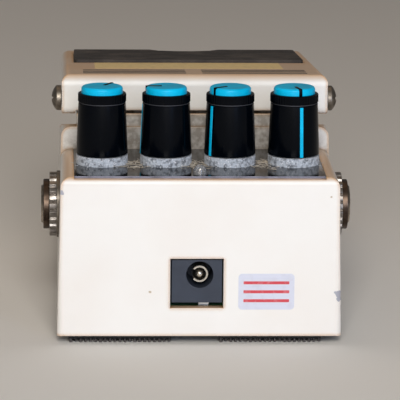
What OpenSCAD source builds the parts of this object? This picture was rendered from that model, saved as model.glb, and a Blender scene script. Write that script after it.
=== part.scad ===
// Compact delay foot pedal: cast chassis, hinged foot treadle, four control knobs.
// Millimetres. The table is z = 0, +Y is the rear face with the power inlet, +X the user's right.
// A distance called "depth" is measured forwards from the rear face.

/* [Chassis] */
// Width of the chassis at its foot
body_w = 66.7; // [64:0.1:74]
// Depth of the chassis from its rear face to its front face
body_d = 129; // [127:0.5:138]
// Lean of the side walls from upright, degrees
side_draft = 1.4; // [0.4:0.1:2]
// Thickness of the cast walls
wall = 2.6; // [2.2:0.1:3]
// Rounding of the upright corners
corner_r = 1.4; // [0.8:0.1:2]
// Height of the control deck's side rails above the table
deck_z = 39.7; // [39:0.1:41]
// Rounding of the rails' outer edges
rail_r = 2.4; // [1:0.1:2.6]
// Rounding of the edge between the rear face and the deck
rear_edge_r = 1.8; // [0.8:0.1:2.4]
// Distance of the cross wall's face behind the treadle's rear face
cross_back = 3; // [2.5:0.1:4.5]
// Length of the cross wall's flat top
ledge_l = 3.6; // [2.5:0.1:4]
// Height of the cross wall's top above the table
ledge_z = 45.1; // [44.6:0.1:45.6]
// Rounding of the cross wall's outer corners
ledge_r = 2.3; // [1.5:0.1:3]
// Height of the lip under the treadle's skirt above the table
lip_z = 48.2; // [47:0.1:48.3]
// Distance of the lip's face in front of the cross wall's face
lip_in = 0.5; // [0.3:0.1:0.8]
// Height of the front deck at its low end
front_z = 27.5; // [27:0.1:29]
// Rounding of the front edge
front_r = 3; // [1.5:0.1:4]

/* [Base] */
// Thickness of the hook tape that the pedal stands on
tape_t = 1.9; // [1.6:0.1:2.6]
// Width of one strip of hook tape
tape_w = 24; // [18:0.5:25]
// Distance of the strips from the rear and front faces
tape_inset = 1.5; // [1:0.5:10]
// Offset of the strip on the user's right from the middle
tape_right_x = 18.5; // [17.5:0.1:18.9]
// Offset of the strip on the user's left from the middle
tape_left_x = -16.7; // [-18.4:0.1:-14]
// Thickness of the steel base plate
base_t = 1.2; // [0.8:0.1:1.6]
// Width of the chassis lip that hides the base plate's edge
base_lip = 1.3; // [1:0.1:1.6]
// Radius of the base screws
base_screw_r = 1.5; // [1.2:0.1:1.8]
// Distance of the base screws from the end faces
base_screw_in = 7; // [6.5:0.5:9]

/* [Control panel] */
// Thickness of the panel plate
plate_t = 0.5; // [0.3:0.1:0.8]
// Width of one side rail
rail_w = 3.1; // [2.5:0.05:3.4]
// Depth at which the plate's rear edge lies
plate_d = 2; // [1:0.1:2.5]
// Thickness of the deck under the plate
deck_t = 2.6; // [2:0.1:3]
// Depth of the knob row
knob_d = 18; // [17:0.5:19]
// Distance of the outer knobs' axes from the plate's sides
knob_in = 6.62; // [6.5:0.02:7.2]
// Depth of the indicator lamp
led_d = 5; // [4.5:0.1:6]
// Radius of the indicator lamp
led_r = 1.5; // [1:0.1:2]
// Height of the lamp's dome above the plate
led_h = 2.2; // [1.6:0.1:3]

/* [Knobs] */
// Radius of a knob at its foot
knob_r = 6.1; // [5.8:0.1:6.6]
// Radius of a knob under its rim
knob_neck_r = 5.6; // [5.3:0.1:5.7]
// Radius of a knob's rim
knob_rim_r = 5.7; // [5.6:0.05:6]
// Height of a knob's black body
knob_h = 14.5; // [13:0.1:16]
// Height of the rim band
rim_h = 2.1; // [1.4:0.1:3]
// Radius of the coloured cap
cap_r = 4.9; // [4.2:0.1:5.1]
// Height of the cap above the rim
cap_proud = 1.6; // [0.8:0.1:2]
// Width of the pointer line
pointer_w = 0.8; // [0.5:0.05:1.2]
// Height of the felt ring under a knob
felt_h = 2.1; // [1.9:0.1:3]
// Radial width of the felt ring
felt_w = 0.9; // [0.6:0.05:1]
// Radius of a control shaft
shaft_r = 2.5; // [2:0.1:2.5]
// Angle of each knob's pointer from straight back, level first, degrees clockwise
pointer_turn = [-14.6, 53, 88, -150]; // [-150:1:150]

/* [Power inlet] */
// Width of the window in the rear face
inlet_w = 12.4; // [12:0.1:14]
// Height of the window in the rear face
inlet_h = 11.7; // [11.4:0.1:13]
// Height of the window's lower edge above the table
inlet_z = 8.7; // [8.2:0.1:8.9]
// Offset of the window from the middle, to the user's right
inlet_x = 0.66; // [0:0.02:1]
// Offset of the socket's round hole from the middle
socket_x = 0; // [-0.4:0.1:0.8]
// Height of the socket's round hole above the window's lower edge
socket_rise = 7.9; // [7:0.1:8.1]
// Depth of the socket's face behind the rear face
socket_front_d = 0.3; // [0.2:0.1:1.2]
// Radius of the socket's round hole
socket_r = 3.15; // [2.9:0.05:3.2]
// Depth of the socket's round hole
socket_l = 10.5; // [9:0.5:12]
// Radius of the socket's centre pin
pin_r = 1; // [0.6:0.05:1.2]

/* [Jacks] */
// Depth of the two jacks
jack_d = 30.5; // [30:0.5:31]
// Height of the two jacks above the table
jack_z = 27.1; // [26:0.1:28]
// Radius of the jack's bore for a 6.35 mm plug
jack_bore_r = 3.25; // [3.2:0.01:3.35]
// Radius of the jack's threaded sleeve
jack_sleeve_r = 4.7; // [4.4:0.1:5]
// Radius of the flat washer
jack_washer_r = 8; // [7:0.1:8.4]
// Radius of the toothed ring
jack_ring_r = 7.7; // [6.5:0.1:8]
// Radius of the round nut
jack_nut_r = 6; // [5.6:0.1:6.6]
// Distance that the sleeve stands out of its seat
jack_proud = 4.6; // [4.3:0.1:5]

/* [Treadle] */
// Width of the treadle
treadle_w = 64.4; // [62:0.2:64.6]
// Distance of the treadle's rear face behind the hinge axis
treadle_tail = 5; // [4.6:0.1:5.2]
// Height of the treadle's top at its rear edge
treadle_z = 57.4; // [56.8:0.1:58]
// Slope of the treadle's top down to the front, degrees
treadle_slope = 5.7; // [5:0.1:6.2]
// Gap from the chassis front face back to the treadle's front face
treadle_back = 2.2; // [1.5:0.1:4]
// Thickness of the treadle's top plate
treadle_t = 2.6; // [2.2:0.1:3]
// Thickness of the treadle's side walls
cheek_t = 3.3; // [2.6:0.1:3.5]
// Thickness of the treadle's rear skirt
skirt_t = 2; // [1.6:0.1:2.2]
// Height of the lower side edge at the rear
cheek_rear_z = 47.8; // [47.2:0.1:48.2]
// Height of the lower side edge at the front
cheek_front_z = 32.2; // [31.8:0.1:33]
// Rounding of the treadle's top side edges
treadle_side_r = 2.2; // [1:0.1:2.4]
// Rounding of the treadle's rear lower edge
treadle_foot_r = 1.5; // [1.2:0.1:1.8]
// Rounding of the treadle's rear top edge
treadle_rear_r = 2.7; // [1.5:0.1:3]
// Rounding of the treadle's front top edge
treadle_front_r = 4; // [2:0.1:5]

/* [Hinge] */
// Depth of the hinge axis
hinge_d = 43; // [42.8:0.1:43.2]
// Height of the hinge axis above the table
hinge_z = 50.8; // [50.6:0.1:51]
// Radius of the hinge barrel on the chassis
barrel_r = 3.2; // [2.8:0.1:3.3]
// Radius of the hinge screw's shoulder
hinge_pin_r = 1.7; // [1.4:0.1:1.9]
// Radius of the hinge screw's head
hinge_head_r = 3.05; // [2.6:0.05:3.4]
// Height of the hinge screw's head
hinge_head_h = 2.4; // [1.6:0.1:3]
// Radius of the trough that the skirt swings through
trough_r = 6; // [5.9:0.1:6.2]

/* [Foot pad] */
// Depth of the rubber pad's rear edge
pad_rear_d = 78.5; // [74:0.5:84]
// Depth of the rubber pad's front edge
pad_front_d = 117; // [112:0.5:118]
// Width of the rubber pad
pad_w = 58; // [52:0.5:59]
// Depth of the pad's seat in the treadle
pad_sunk = 1; // [0.6:0.1:1.2]
// Height of the pad above the treadle
pad_proud = 0.8; // [0.4:0.1:1.2]

/* [Thumbscrew] */
// Depth of the thumbscrew
thumb_d = 120; // [119:0.5:120]
// Radius of the thumbscrew's knurled head
thumb_r = 6; // [5:0.1:6.5]
// Height of the thumbscrew's head
thumb_h = 8; // [6:0.1:9]
// Radius of the thumbscrew's shank
thumb_shank_r = 2; // [1.6:0.1:2.2]
// Radius of the notch around the thumbscrew
notch_r = 8.6; // [8:0.1:9]
// Thickness of the notch's wall and floor
notch_t = 2.6; // [2:0.1:3]

/* [Battery bay and switch] */
// Depth of the battery bay's rear wall
bay_d = 57; // [56:0.5:58]
// Length of the bay from back to front
bay_l = 28; // [27:0.5:28.5]
// Width of the bay
bay_w = 55; // [52:0.5:56]
// Height of the bay's floor above the table
bay_z = 18; // [17:0.5:19]
// Depth of the foot switch
switch_d = 92.2; // [92:0.1:92.6]
// Depth of the return spring
spring_d = 102.8; // [102.6:0.1:103]
// Radius of the return spring to the middle of its wire
spring_r = 4.2; // [3.8:0.1:4.4]
// Radius of the spring's wire
spring_wire_r = 0.5; // [0.4:0.05:0.6]
// Turns of the return spring
spring_turns = 6; // [4:1:7]

/* [Clearances] */
// Gap between parts that only pass each other
gap = 0.3; // [0.2:0.05:0.4]
// Radial gap of a turning fit
turn_gap = 0.05; // [0.02:0.01:0.08]
// Radial gap of a fixed fit
seat_gap = 0.02; // [0.01:0.01:0.05]

/* [Hidden] */
KNOBS = ["level", "feedback", "time", "mode"];

$fn = 48;
eps = 0.01;
cream = [0.95, 0.93, 0.88];
black = [0.08, 0.08, 0.09];
steel = [0.72, 0.72, 0.72];

// Depths that follow the hinge: the treadle's rear face and the cross wall
treadle_d = hinge_d - treadle_tail;
cross_d = treadle_d - cross_back;

// Front deck: its line in the side view, and where it starts
slope_d = cross_d + ledge_l;
slope_tan = (ledge_z - front_z) / (body_d - slope_d);
slope_deg = atan(slope_tan);

// Control deck
seat_z = deck_z - plate_t;
under_deck_z = seat_z - deck_t;
plate_w = 2 * (half_w(deck_z) - rail_w);
knob_pitch = (plate_w - 2 * knob_in) / (len(KNOBS) - 1);
knob_z = deck_z + felt_h + gap;
knob_edge = 0.3;
knob_neck_z = knob_h - rim_h;
neck_groove = 0.25;
rim_edge = 0.15;
cap_seat = 1.2;
cap_round = 0.7;
cap_slot_in = 1;
pointer_t = 0.7;

// Controls under the deck
bushing_wall = 0.7;
bushing_rise = 1.2;
bushing_r = shaft_r + bushing_wall;
bushing_z = knob_z + bushing_rise;
pot_w = 11;
pot_h = 6.4;
pot_washer_t = 0.4;
pot_nut_h = 1.5;
pot_nut_r = knob_r - felt_w - 0.1;
shaft_top = knob_z + knob_h - cap_seat - 2;

// Base and board
board_t = 1.6;
board_z = inlet_z - board_t - 0.2;
board_top = board_z + board_t;
base_top = tape_t + base_t;
screw_x = body_w / 2 - wall - 3.2;
post_r = base_screw_r + 1.7;
screw_l = 8;
base_head_r = base_screw_r + 1.1;
screw_places = [for (sx = [-1, 1], d = [base_screw_in, body_d - base_screw_in]) [sx * screw_x, at(d)]];

// Power socket on the board
socket_z = inlet_z + socket_rise;
socket_w = inlet_w - 2 * gap;
socket_low_z = inlet_z + 1.2;
socket_top_z = inlet_z + inlet_h - gap;
socket_back = 2.5;
socket_end_d = socket_front_d + socket_l + socket_back;
socket_foot_d = 6;
pin_set = 1.4;
pin_l = socket_l + socket_back - 2 * gap - pin_set;
contact_r = 1.55;
contact_t = 0.4;
contact_l = 9.6;
contact_open = 80;
lug_w = 2.3;
lug_t = 0.4;
lug_x = -1;
lug_front_d = socket_front_d + 0.5;
lug_leg_d = wall + gap + 0.4;

// Spacers under the board and the chips on it
spacer_x = 22.4;
spacer_r = 2.5;
chip_w = 12;
chip_l = 7;
chip_h = 3.2;
chip_d = 45;
chip_pitch_x = 17;
chip_pitch_d = 16;

// Jacks
jack_seat_x = half_w(jack_z + jack_washer_r + 0.5);
jack_washer_t = 0.9;
jack_ring_t = 1.7;
jack_nut_t = 1.5;
jack_body_l = 21;
jack_body_w = 12;
jack_body_h = 13;
jack_body_x = half_w(jack_z - jack_body_h / 2) - wall - 0.8;
jack_sleeve_in = 5;
jack_teeth = 24;
jack_tooth = 0.9;

// Treadle and hinge
front_face_d = body_d - treadle_back;
cheek_tan = (cheek_rear_z - cheek_front_z) / (front_face_d - treadle_d);
inner_w = treadle_w - 2 * cheek_t;
barrel_l = inner_w - 2 * gap;
skirt_z = cheek_rear_z + 0.8;
skirt_hollow_r = barrel_r + gap + 0.1;
rear_arc = [treadle_tail - treadle_rear_r,
            top_line(treadle_d + treadle_rear_r) - treadle_rear_r - hinge_z];
sweep_r = norm(rear_arc) + treadle_rear_r + gap;
bush_wall = 0.9;
web_lean = 24;
web_t = 1.5;
hinge_thread_l = 8;
dome_h = 1.2;
dome_r = (hinge_head_r ^ 2 + dome_h ^ 2) / (2 * dome_h);
head_gap = 0.1;
slot_w = 0.8;
slot_l = 3.6;
slot_h = 1.2;
bush_r = hinge_pin_r + turn_gap + bush_wall;

// Foot pad, measured along the treadle's slope
pad_seat_d = (pad_rear_d - treadle_d) / cos(treadle_slope);
pad_l = (pad_front_d - pad_rear_d) / cos(treadle_slope);
pad_corner_r = 1;
pad_edge = 3;
rib = 1.6;
rib_h = 0.4;
groove_w = 0.96;

// Thumbscrew and its notch
notch_floor_z = cheek_line(thumb_d) + notch_t;
thumb_seat_z = notch_floor_z + 0.1;
ring_t = 0.6;
ring_r = thumb_shank_r + 1.8;
ring_z = notch_floor_z - notch_t - gap - ring_t;
guide_sunk = 1.2;
guide_play = 1.4;
guide_wall = 1.9;
guide_l = 8;
guide_reach = 3.2;
guide_z = deck_line(thumb_d) - guide_sunk;
guide_bore_r = thumb_shank_r + guide_play;
guide_r = guide_bore_r + guide_wall;
thumb_tip_z = guide_z - guide_reach;
thumb_point = 1;
thumb_taper = 0.8;
flutes = 20;
flute_r = 0.6;

// Battery bay, switch and spring on the front deck
bay_wall = 2;
switch_seat_z = deck_line(switch_d) + 1.4;
switch_w = 12;
switch_l = 11;
switch_rear_d = switch_d - switch_w / 2;
switch_h = 4.5;
switch_edge = 2;
boot_r = 4.4;
boot_h = 5.4;
boot_top = switch_seat_z + switch_h + boot_h;
pusher_r = 3.4;
spring_cup_r = spring_r + 1.2;
boss_h = 10;
spring_seat_z = deck_line(spring_d) + 0.9;
spring_seat_r = spring_r + spring_wire_r + 0.2;
spigot_h = 3.6;
spring_top = top_line(spring_d) - treadle_t - 1.4;
spring_rings = 8;
spring_sides = 6;
spring_low = spring_seat_z + spring_wire_r;
spring_rise = spring_top - spring_seat_z - 2 * spring_wire_r;

// Shape helpers
function at(d) = body_d / 2 - d;
function half_w(z) = body_w / 2 - (z - tape_t) * tan(side_draft);
function deck_line(d) = ledge_z - (d - slope_d) * slope_tan;
function cheek_line(d) = cheek_rear_z - (d - treadle_d) * cheek_tan;
function top_line(d) = treadle_z - (d - treadle_d) * tan(treadle_slope);
function knob_x(i) = (i - 1.5) * knob_pitch;

// Prism along X from points given as [depth, height]
module side_prism(w) rotate([90, 0, 90]) linear_extrude(w, center = true) children();
module side_shape(points) polygon([for (p = points) [at(p[0]), p[1]]]);
// Prism along Y between two depths from an end view drawn in x and z
module end_prism(d0, d1) translate([0, at(d0), 0]) rotate([90, 0, 0]) linear_extrude(d1 - d0) children();
// Cylinder along X between two x places
module x_rod(r, x0, x1, d, z) translate([x0, at(d), z]) rotate([0, 90, 0]) cylinder(r = r, h = x1 - x0);
// Cylinder along Y from a depth forwards
module y_rod(r, x, d, z, l) translate([x, at(d), z]) rotate([90, 0, 0]) cylinder(r = r, h = l);
// Box given by its x, depth and height limits
module box(x0, x1, d0, d1, z0, z1) translate([x0, at(d1), z0]) cube([x1 - x0, d1 - d0, z1 - z0]);
// Rectangle with round corners
module round_rect(w, d, r) {
    square([w - 2 * r, d], center = true);
    square([w, d - 2 * r], center = true);
    for (sx = [-1, 1], sy = [-1, 1]) translate([sx * (w / 2 - r), sy * (d / 2 - r)]) circle(r);
}
// What is cut from an edge along X to round it: the edge looks back or forward, and up or down
module edge_cut(d, z, r, w, back = 1, up = 1) {
    translate([0, at(d), z]) mirror([0, back > 0 ? 0 : 1, 0]) mirror([0, 0, up > 0 ? 0 : 1]) difference() {
        translate([-w / 2, -r, -r]) cube([w, r + 1, r + 1]);
        translate([-w / 2 - 1, -r, -r]) rotate([0, 90, 0]) cylinder(r = r, h = w + 2);
    }
}
// End view between the leaning side walls from a foot up to a top
module flare(top, inset = 0, foot = tape_t) {
    polygon([[-half_w(foot) + inset, foot], [half_w(foot) - inset, foot],
             [half_w(top) - inset, top], [-half_w(top) + inset, top]]);
}
// End view of the chassis up to a height, with its top corners rounded
module crown(top, r) {
    a = side_draft;
    cx = half_w(top) + r * tan(a) - r / cos(a);
    difference() {
        flare(top);
        for (s = [-1, 1]) difference() {
            polygon([[s * cx, top + eps], [s * (half_w(top) + 1), top + eps],
                     [s * (cx + r * cos(a) + 1), top - r + r * sin(a)],
                     [s * (cx + r * cos(a)), top - r + r * sin(a)], [s * cx, top - r]]);
            translate([s * cx, top - r]) circle(r);
        }
    }
}
// Side view of the front half: the sloping deck and the rounded front edge
module front_side() {
    a = slope_deg;
    c = [body_d - front_r, deck_line(body_d - front_r) - front_r / cos(a)];
    side_shape([[slope_d - 1, tape_t], [slope_d - 1, ledge_z], [slope_d, ledge_z],
                c + front_r * [sin(a), cos(a)], c, [body_d, c[1]], [body_d, tape_t]]);
    translate([at(c[0]), c[1]]) circle(front_r);
}

// Chassis
module chassis_outside() {
    intersection() {
        union() {
            difference() {
                end_prism(0, slope_d) crown(deck_z, rail_r);
                edge_cut(0, deck_z, rear_edge_r, body_w + 2);
                // Seat of the panel plate
                box(-plate_w / 2, plate_w / 2, -1, cross_d + 1, seat_z, deck_z + 1);
            }
            end_prism(cross_d, slope_d) crown(ledge_z, ledge_r);
            intersection() {
                end_prism(slope_d - 0.5, body_d) crown(ledge_z, ledge_r);
                side_prism(body_w + 2) front_side();
            }
        }
        linear_extrude(ledge_z + 1) round_rect(body_w, body_d, corner_r);
    }
}
module chassis_inside() {
    low = tape_t - 1;
    drop = deck_t / cos(slope_deg);
    intersection() {
        end_prism(wall, body_d - wall) flare(ledge_z, wall, low);
        side_prism(body_w) side_shape([[0, low], [0, under_deck_z], [cross_d + wall, under_deck_z],
            [cross_d + wall, ledge_z - drop], [slope_d, ledge_z - drop],
            [body_d, deck_line(body_d) - drop], [body_d, low]]);
    }
}
module hinge_block() {
    low_z = ledge_z - 0.4;
    web_top_d = hinge_d + trough_r + web_t;
    difference() {
        side_prism(barrel_l) side_shape([[cross_d + 1, under_deck_z], [cross_d + 1, low_z],
            [slope_d, low_z], [slope_d, hinge_z], [web_top_d, hinge_z],
            [bay_d - eps, deck_line(bay_d) - eps], [bay_d - eps, under_deck_z]]);
        x_rod(trough_r, -body_w / 2, body_w / 2, hinge_d, hinge_z);
        box(-body_w / 2, body_w / 2, cross_d - 1, hinge_d - trough_r / 2, low_z, hinge_z + 5);
    }
    // Lip under the skirt, clear of the treadle's swing
    difference() {
        box(-barrel_l / 2, barrel_l / 2, cross_d + lip_in, hinge_d - trough_r / 2, low_z - 1, lip_z);
        x_rod(sweep_r, -body_w / 2, body_w / 2, hinge_d, hinge_z);
    }
    x_rod(barrel_r, -barrel_l / 2, barrel_l / 2, hinge_d, hinge_z);
    side_prism(barrel_l) side_shape([[hinge_d, hinge_z], [web_top_d, hinge_z],
        [web_top_d, hinge_z - trough_r],
        [hinge_d + trough_r * sin(web_lean), hinge_z - trough_r * cos(web_lean)]]);
}
module chassis() {
    color(cream) difference() {
        union() {
            difference() {
                chassis_outside();
                chassis_inside();
            }
            hinge_block();
            intersection() {
                chassis_outside();
                union() {
                    box(-bay_w / 2 - bay_wall, bay_w / 2 + bay_wall, bay_d - bay_wall,
                        bay_d + bay_l + bay_wall, bay_z - bay_wall, ledge_z);
                    for (p = screw_places) translate([p[0], p[1], base_top])
                        cylinder(r = post_r, h = front_z - base_top);
                    translate([0, at(thumb_d), guide_z - guide_l])
                        cylinder(r = guide_r + seat_gap + wall, h = guide_l + 4);
                }
            }
            box(-switch_w / 2 - switch_edge, switch_w / 2 + switch_edge, switch_rear_d - switch_edge / 2,
                switch_rear_d + switch_l + gap, deck_line(switch_d) - deck_t, switch_seat_z);
            translate([0, at(spring_d), spring_seat_z - deck_t]) cylinder(r = spring_seat_r, h = deck_t);
            translate([0, at(spring_d), spring_seat_z - eps])
                cylinder(r = spring_r - spring_wire_r - 2 * gap, h = spigot_h);
        }
        // Holes for the controls and the lamp
        for (i = [0:3]) translate([knob_x(i), at(knob_d), under_deck_z - 1])
            cylinder(r = bushing_r + gap, h = deck_t + 3);
        translate([0, at(led_d), under_deck_z - 1]) cylinder(r = led_r + turn_gap, h = deck_t + 3);
        // Window of the power inlet
        box(inlet_x - inlet_w / 2, inlet_x + inlet_w / 2, -1, wall + 1, inlet_z, inlet_z + inlet_h);
        // Jack holes and their flat seats
        for (s = [-1, 1]) {
            x_rod(jack_sleeve_r + gap, s < 0 ? -body_w / 2 - 1 : body_w / 2 - wall - 3,
                  s < 0 ? -body_w / 2 + wall + 3 : body_w / 2 + 1, jack_d, jack_z);
            x_rod(jack_washer_r + 0.4, s < 0 ? -body_w / 2 - 1 : jack_seat_x,
                  s < 0 ? -jack_seat_x : body_w / 2 + 1, jack_d, jack_z);
        }
        // Hinge screw threads
        for (s = [-1, 1])
            x_rod(hinge_pin_r + seat_gap, s < 0 ? -barrel_l / 2 - 1 : barrel_l / 2 - hinge_thread_l - 1,
                  s < 0 ? -barrel_l / 2 + hinge_thread_l + 1 : barrel_l / 2 + 1, hinge_d, hinge_z);
        // Battery bay
        box(-bay_w / 2, bay_w / 2, bay_d, bay_d + bay_l, bay_z, hinge_z);
        // Guide bush and the flat around it
        translate([0, at(thumb_d), guide_z - guide_l - 10]) cylinder(r = guide_bore_r, h = 12);
        translate([0, at(thumb_d), guide_z - guide_l]) cylinder(r = guide_r + seat_gap, h = guide_l + 1);
        translate([0, at(thumb_d), guide_z]) cylinder(r = guide_r + 1.2, h = 6);
        // Rebate of the base plate and the base screws
        translate([0, 0, tape_t - 1]) linear_extrude(base_t + 1)
            round_rect(body_w - 2 * base_lip, body_d - 2 * base_lip, corner_r);
        for (p = screw_places) translate([p[0], p[1], base_top - 1])
            cylinder(r = base_screw_r + seat_gap, h = screw_l + 1);
    }
}

// Base
module base_plate() {
    color(steel) difference() {
        translate([0, 0, tape_t]) linear_extrude(base_t)
            round_rect(body_w - 2 * base_lip - 2 * gap, body_d - 2 * base_lip - 2 * gap, corner_r);
        for (p = screw_places) translate([p[0], p[1], tape_t]) screw_cut(turn_gap);
    }
}
// Countersunk screw standing on its head
module screw_cut(extra) {
    translate([0, 0, -eps])
        cylinder(r1 = base_head_r + extra, r2 = base_screw_r + extra, h = base_t + eps);
    cylinder(r = base_screw_r + extra, h = base_t + 1);
}
module base_screws() {
    color(steel) for (p = screw_places) translate([p[0], p[1], tape_t]) {
        cylinder(r1 = base_head_r, r2 = base_screw_r, h = base_t);
        cylinder(r = base_screw_r, h = base_t + screw_l - 1);
    }
}
module hook_tape(x) {
    color(black) box(x - tape_w / 2, x + tape_w / 2, tape_inset, body_d - tape_inset, 0, tape_t);
}
module hook_tape_right() hook_tape(tape_right_x);
module hook_tape_left() hook_tape(tape_left_x);

// Control panel
module panel_plate() {
    color(black) difference() {
        box(-plate_w / 2 + turn_gap, plate_w / 2 - turn_gap, plate_d, cross_d - turn_gap, seat_z, deck_z);
        for (i = [0:3]) translate([knob_x(i), at(knob_d), seat_z - 1])
            cylinder(r = bushing_r + gap, h = plate_t + 2);
        translate([0, at(led_d), seat_z - 1]) cylinder(r = led_r + turn_gap, h = plate_t + 2);
    }
}
module led() {
    color([0.85, 0.87, 0.9]) translate([0, at(led_d), 0]) {
        translate([0, 0, under_deck_z]) cylinder(r = led_r, h = deck_z + led_h - led_r - under_deck_z);
        translate([0, 0, deck_z + led_h - led_r]) intersection() {
            sphere(led_r);
            cylinder(r = led_r + 1, h = led_r + 1);
        }
    }
}
module pot(i) {
    color([0.25, 0.27, 0.28]) translate([knob_x(i), at(knob_d), 0]) difference() {
        union() {
            translate([-pot_w / 2, -pot_w / 2, under_deck_z - pot_h]) cube([pot_w, pot_w, pot_h]);
            translate([0, 0, under_deck_z - eps]) cylinder(r = bushing_r, h = bushing_z - under_deck_z);
        }
        translate([0, 0, under_deck_z - pot_h + 1]) cylinder(r = shaft_r + turn_gap, h = 30);
    }
}
module pot_washers() {
    color(steel) for (i = [0:3]) translate([knob_x(i), at(knob_d), deck_z]) difference() {
        cylinder(r = pot_nut_r, h = pot_washer_t);
        translate([0, 0, -1]) cylinder(r = bushing_r + turn_gap, h = 3);
    }
}
module pot_nuts() {
    color(steel) for (i = [0:3]) translate([knob_x(i), at(knob_d), deck_z + pot_washer_t]) difference() {
        cylinder(r = pot_nut_r, h = pot_nut_h, $fn = 6);
        translate([0, 0, -1]) cylinder(r = bushing_r + seat_gap, h = 4);
    }
}
module knob_felts() {
    color([0.6, 0.6, 0.58]) for (i = [0:3]) translate([knob_x(i), at(knob_d), deck_z]) difference() {
        cylinder(r = knob_r, h = felt_h);
        translate([0, 0, -1]) cylinder(r = knob_r - felt_w, h = felt_h + 2);
    }
}
module shaft(i) {
    color(steel) translate([knob_x(i), at(knob_d), under_deck_z - pot_h + 1 + gap])
        cylinder(r = shaft_r, h = shaft_top - under_deck_z + pot_h - 1 - gap);
}
// Turned about the knob's own axis so that straight back is the pointer
module on_knob(i) translate([knob_x(i), at(knob_d), knob_z]) rotate([0, 0, -pointer_turn[i]]) children();
module pointer_bar(extra) {
    translate([-pointer_w / 2 - extra, knob_neck_r - pointer_t - extra, -eps])
        cube([pointer_w + 2 * extra, knob_r, knob_neck_z - 2 * knob_edge]);
}
module knob_profile() {
    groove_r = knob_neck_r - neck_groove;
    rotate_extrude() polygon([[0, 0], [knob_r - knob_edge, 0], [knob_r, knob_edge],
        [knob_neck_r, knob_neck_z - neck_groove - rim_edge], [groove_r, knob_neck_z - neck_groove],
        [groove_r, knob_neck_z], [knob_rim_r - rim_edge, knob_neck_z], [knob_rim_r, knob_neck_z + rim_edge],
        [knob_rim_r, knob_h - knob_edge], [knob_rim_r - knob_edge, knob_h], [0, knob_h]]);
}
module knob(i) {
    color(black) on_knob(i) difference() {
        knob_profile();
        translate([0, 0, knob_h - cap_seat]) cylinder(r = cap_r + seat_gap, h = cap_seat + 1);
        translate([0, 0, -1]) cylinder(r = bushing_r + gap, h = bushing_z - knob_z + gap + 1);
        translate([0, 0, -1]) cylinder(r = shaft_r + seat_gap, h = shaft_top - knob_z + 1 + seat_gap);
        pointer_bar(seat_gap);
    }
}
module cap(i) {
    top = cap_seat + cap_proud;
    color([0, 0.72, 0.92]) on_knob(i) translate([0, 0, knob_h - cap_seat]) difference() {
        union() {
            rotate_extrude() {
                square([cap_r, top - cap_round]);
                square([cap_r - cap_round, top]);
                translate([cap_r - cap_round, top - cap_round]) circle(cap_round);
            }
        }
        translate([-pointer_w / 2, cap_slot_in, cap_seat]) cube([pointer_w, cap_r, top]);
    }
}
module pointer(i) {
    color([0, 0.72, 0.92]) on_knob(i) intersection() {
        pointer_bar(0);
        difference() {
            knob_profile();
            cylinder(r = knob_neck_r - pointer_t, h = knob_h);
        }
    }
}

// Electronics
module main_board() {
    half = half_w(board_top) - wall - gap;
    color([0.1, 0.35, 0.18]) difference() {
        box(-half, half, wall + gap, body_d - wall - gap, board_z, board_top);
        for (p = screw_places) translate([p[0], p[1], board_z - 1])
            cylinder(r = post_r + gap, h = board_t + 2);
    }
}
module board_spacers() {
    color([0.85, 0.85, 0.8]) for (sx = [-1, 1], d = [jack_d, body_d - jack_d])
        translate([sx * spacer_x, at(d), base_top]) cylinder(r = spacer_r, h = board_z - base_top);
}
module board_chips() {
    color(black) for (row = [0:2], col = [-1:1])
        translate([col * chip_pitch_x, at(chip_d + row * chip_pitch_d), board_top])
            translate([-chip_w / 2, -chip_l, 0]) cube([chip_w, chip_l, chip_h]);
}
module dc_socket() {
    x0 = inlet_x - socket_w / 2;
    x1 = inlet_x + socket_w / 2;
    color([0.22, 0.23, 0.25]) difference() {
        union() {
            box(x0, x1, socket_front_d, socket_end_d, socket_low_z, socket_top_z);
            box(x0, x1, socket_foot_d, socket_end_d, board_top, socket_low_z + eps);
        }
        y_rod(socket_r, socket_x, socket_front_d - 1, socket_z, socket_l + 1);
        y_rod(pin_r + seat_gap, socket_x, socket_front_d, socket_z, socket_l + socket_back - gap);
    }
}
// Bent solder lug under the socket's front
module dc_lug() {
    color(steel) {
        box(lug_x - lug_w / 2, lug_x + lug_w / 2, lug_front_d, lug_leg_d + lug_t,
            socket_low_z - lug_t, socket_low_z);
        box(lug_x - lug_w / 2, lug_x + lug_w / 2, lug_leg_d, lug_leg_d + lug_t, board_top, socket_low_z);
    }
}
module dc_pin() {
    color(steel) {
        y_rod(pin_r, socket_x, socket_front_d + pin_set, socket_z, pin_l);
        translate([socket_x, at(socket_front_d + pin_set), socket_z]) sphere(pin_r);
    }
}
module dc_contact() {
    color(steel) translate([socket_x, at(socket_front_d + socket_l), socket_z]) rotate([90, 0, 180])
        rotate([0, 0, 180 + contact_open / 2]) rotate_extrude(angle = 360 - contact_open)
            translate([contact_r, 0]) square([contact_t, contact_l]);
}

// Jacks: side is +1 on the user's right, -1 on the left
module on_side(side) translate([0, at(jack_d), jack_z]) rotate([0, side * 90, 0]) children();
module jack_body(side) {
    color([0.12, 0.12, 0.13]) on_side(side) difference() {
        translate([-jack_body_h / 2, -jack_body_w / 2, jack_body_x - jack_body_l])
            cube([jack_body_h, jack_body_w, jack_body_l]);
        translate([0, 0, jack_body_x - jack_body_l + 2])
            cylinder(r = jack_bore_r + 1.2, h = jack_body_l - jack_sleeve_in - 2.5);
        translate([0, 0, jack_body_x - jack_sleeve_in - 1]) cylinder(r = jack_sleeve_r + seat_gap, h = 10);
    }
}
module jack_sleeve(side) {
    start = jack_body_x - jack_sleeve_in;
    color([0.5, 0.5, 0.5]) on_side(side) translate([0, 0, start]) difference() {
        cylinder(r = jack_sleeve_r, h = jack_seat_x + jack_proud - start);
        translate([0, 0, -1]) cylinder(r = jack_bore_r, h = 40);
    }
}
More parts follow.
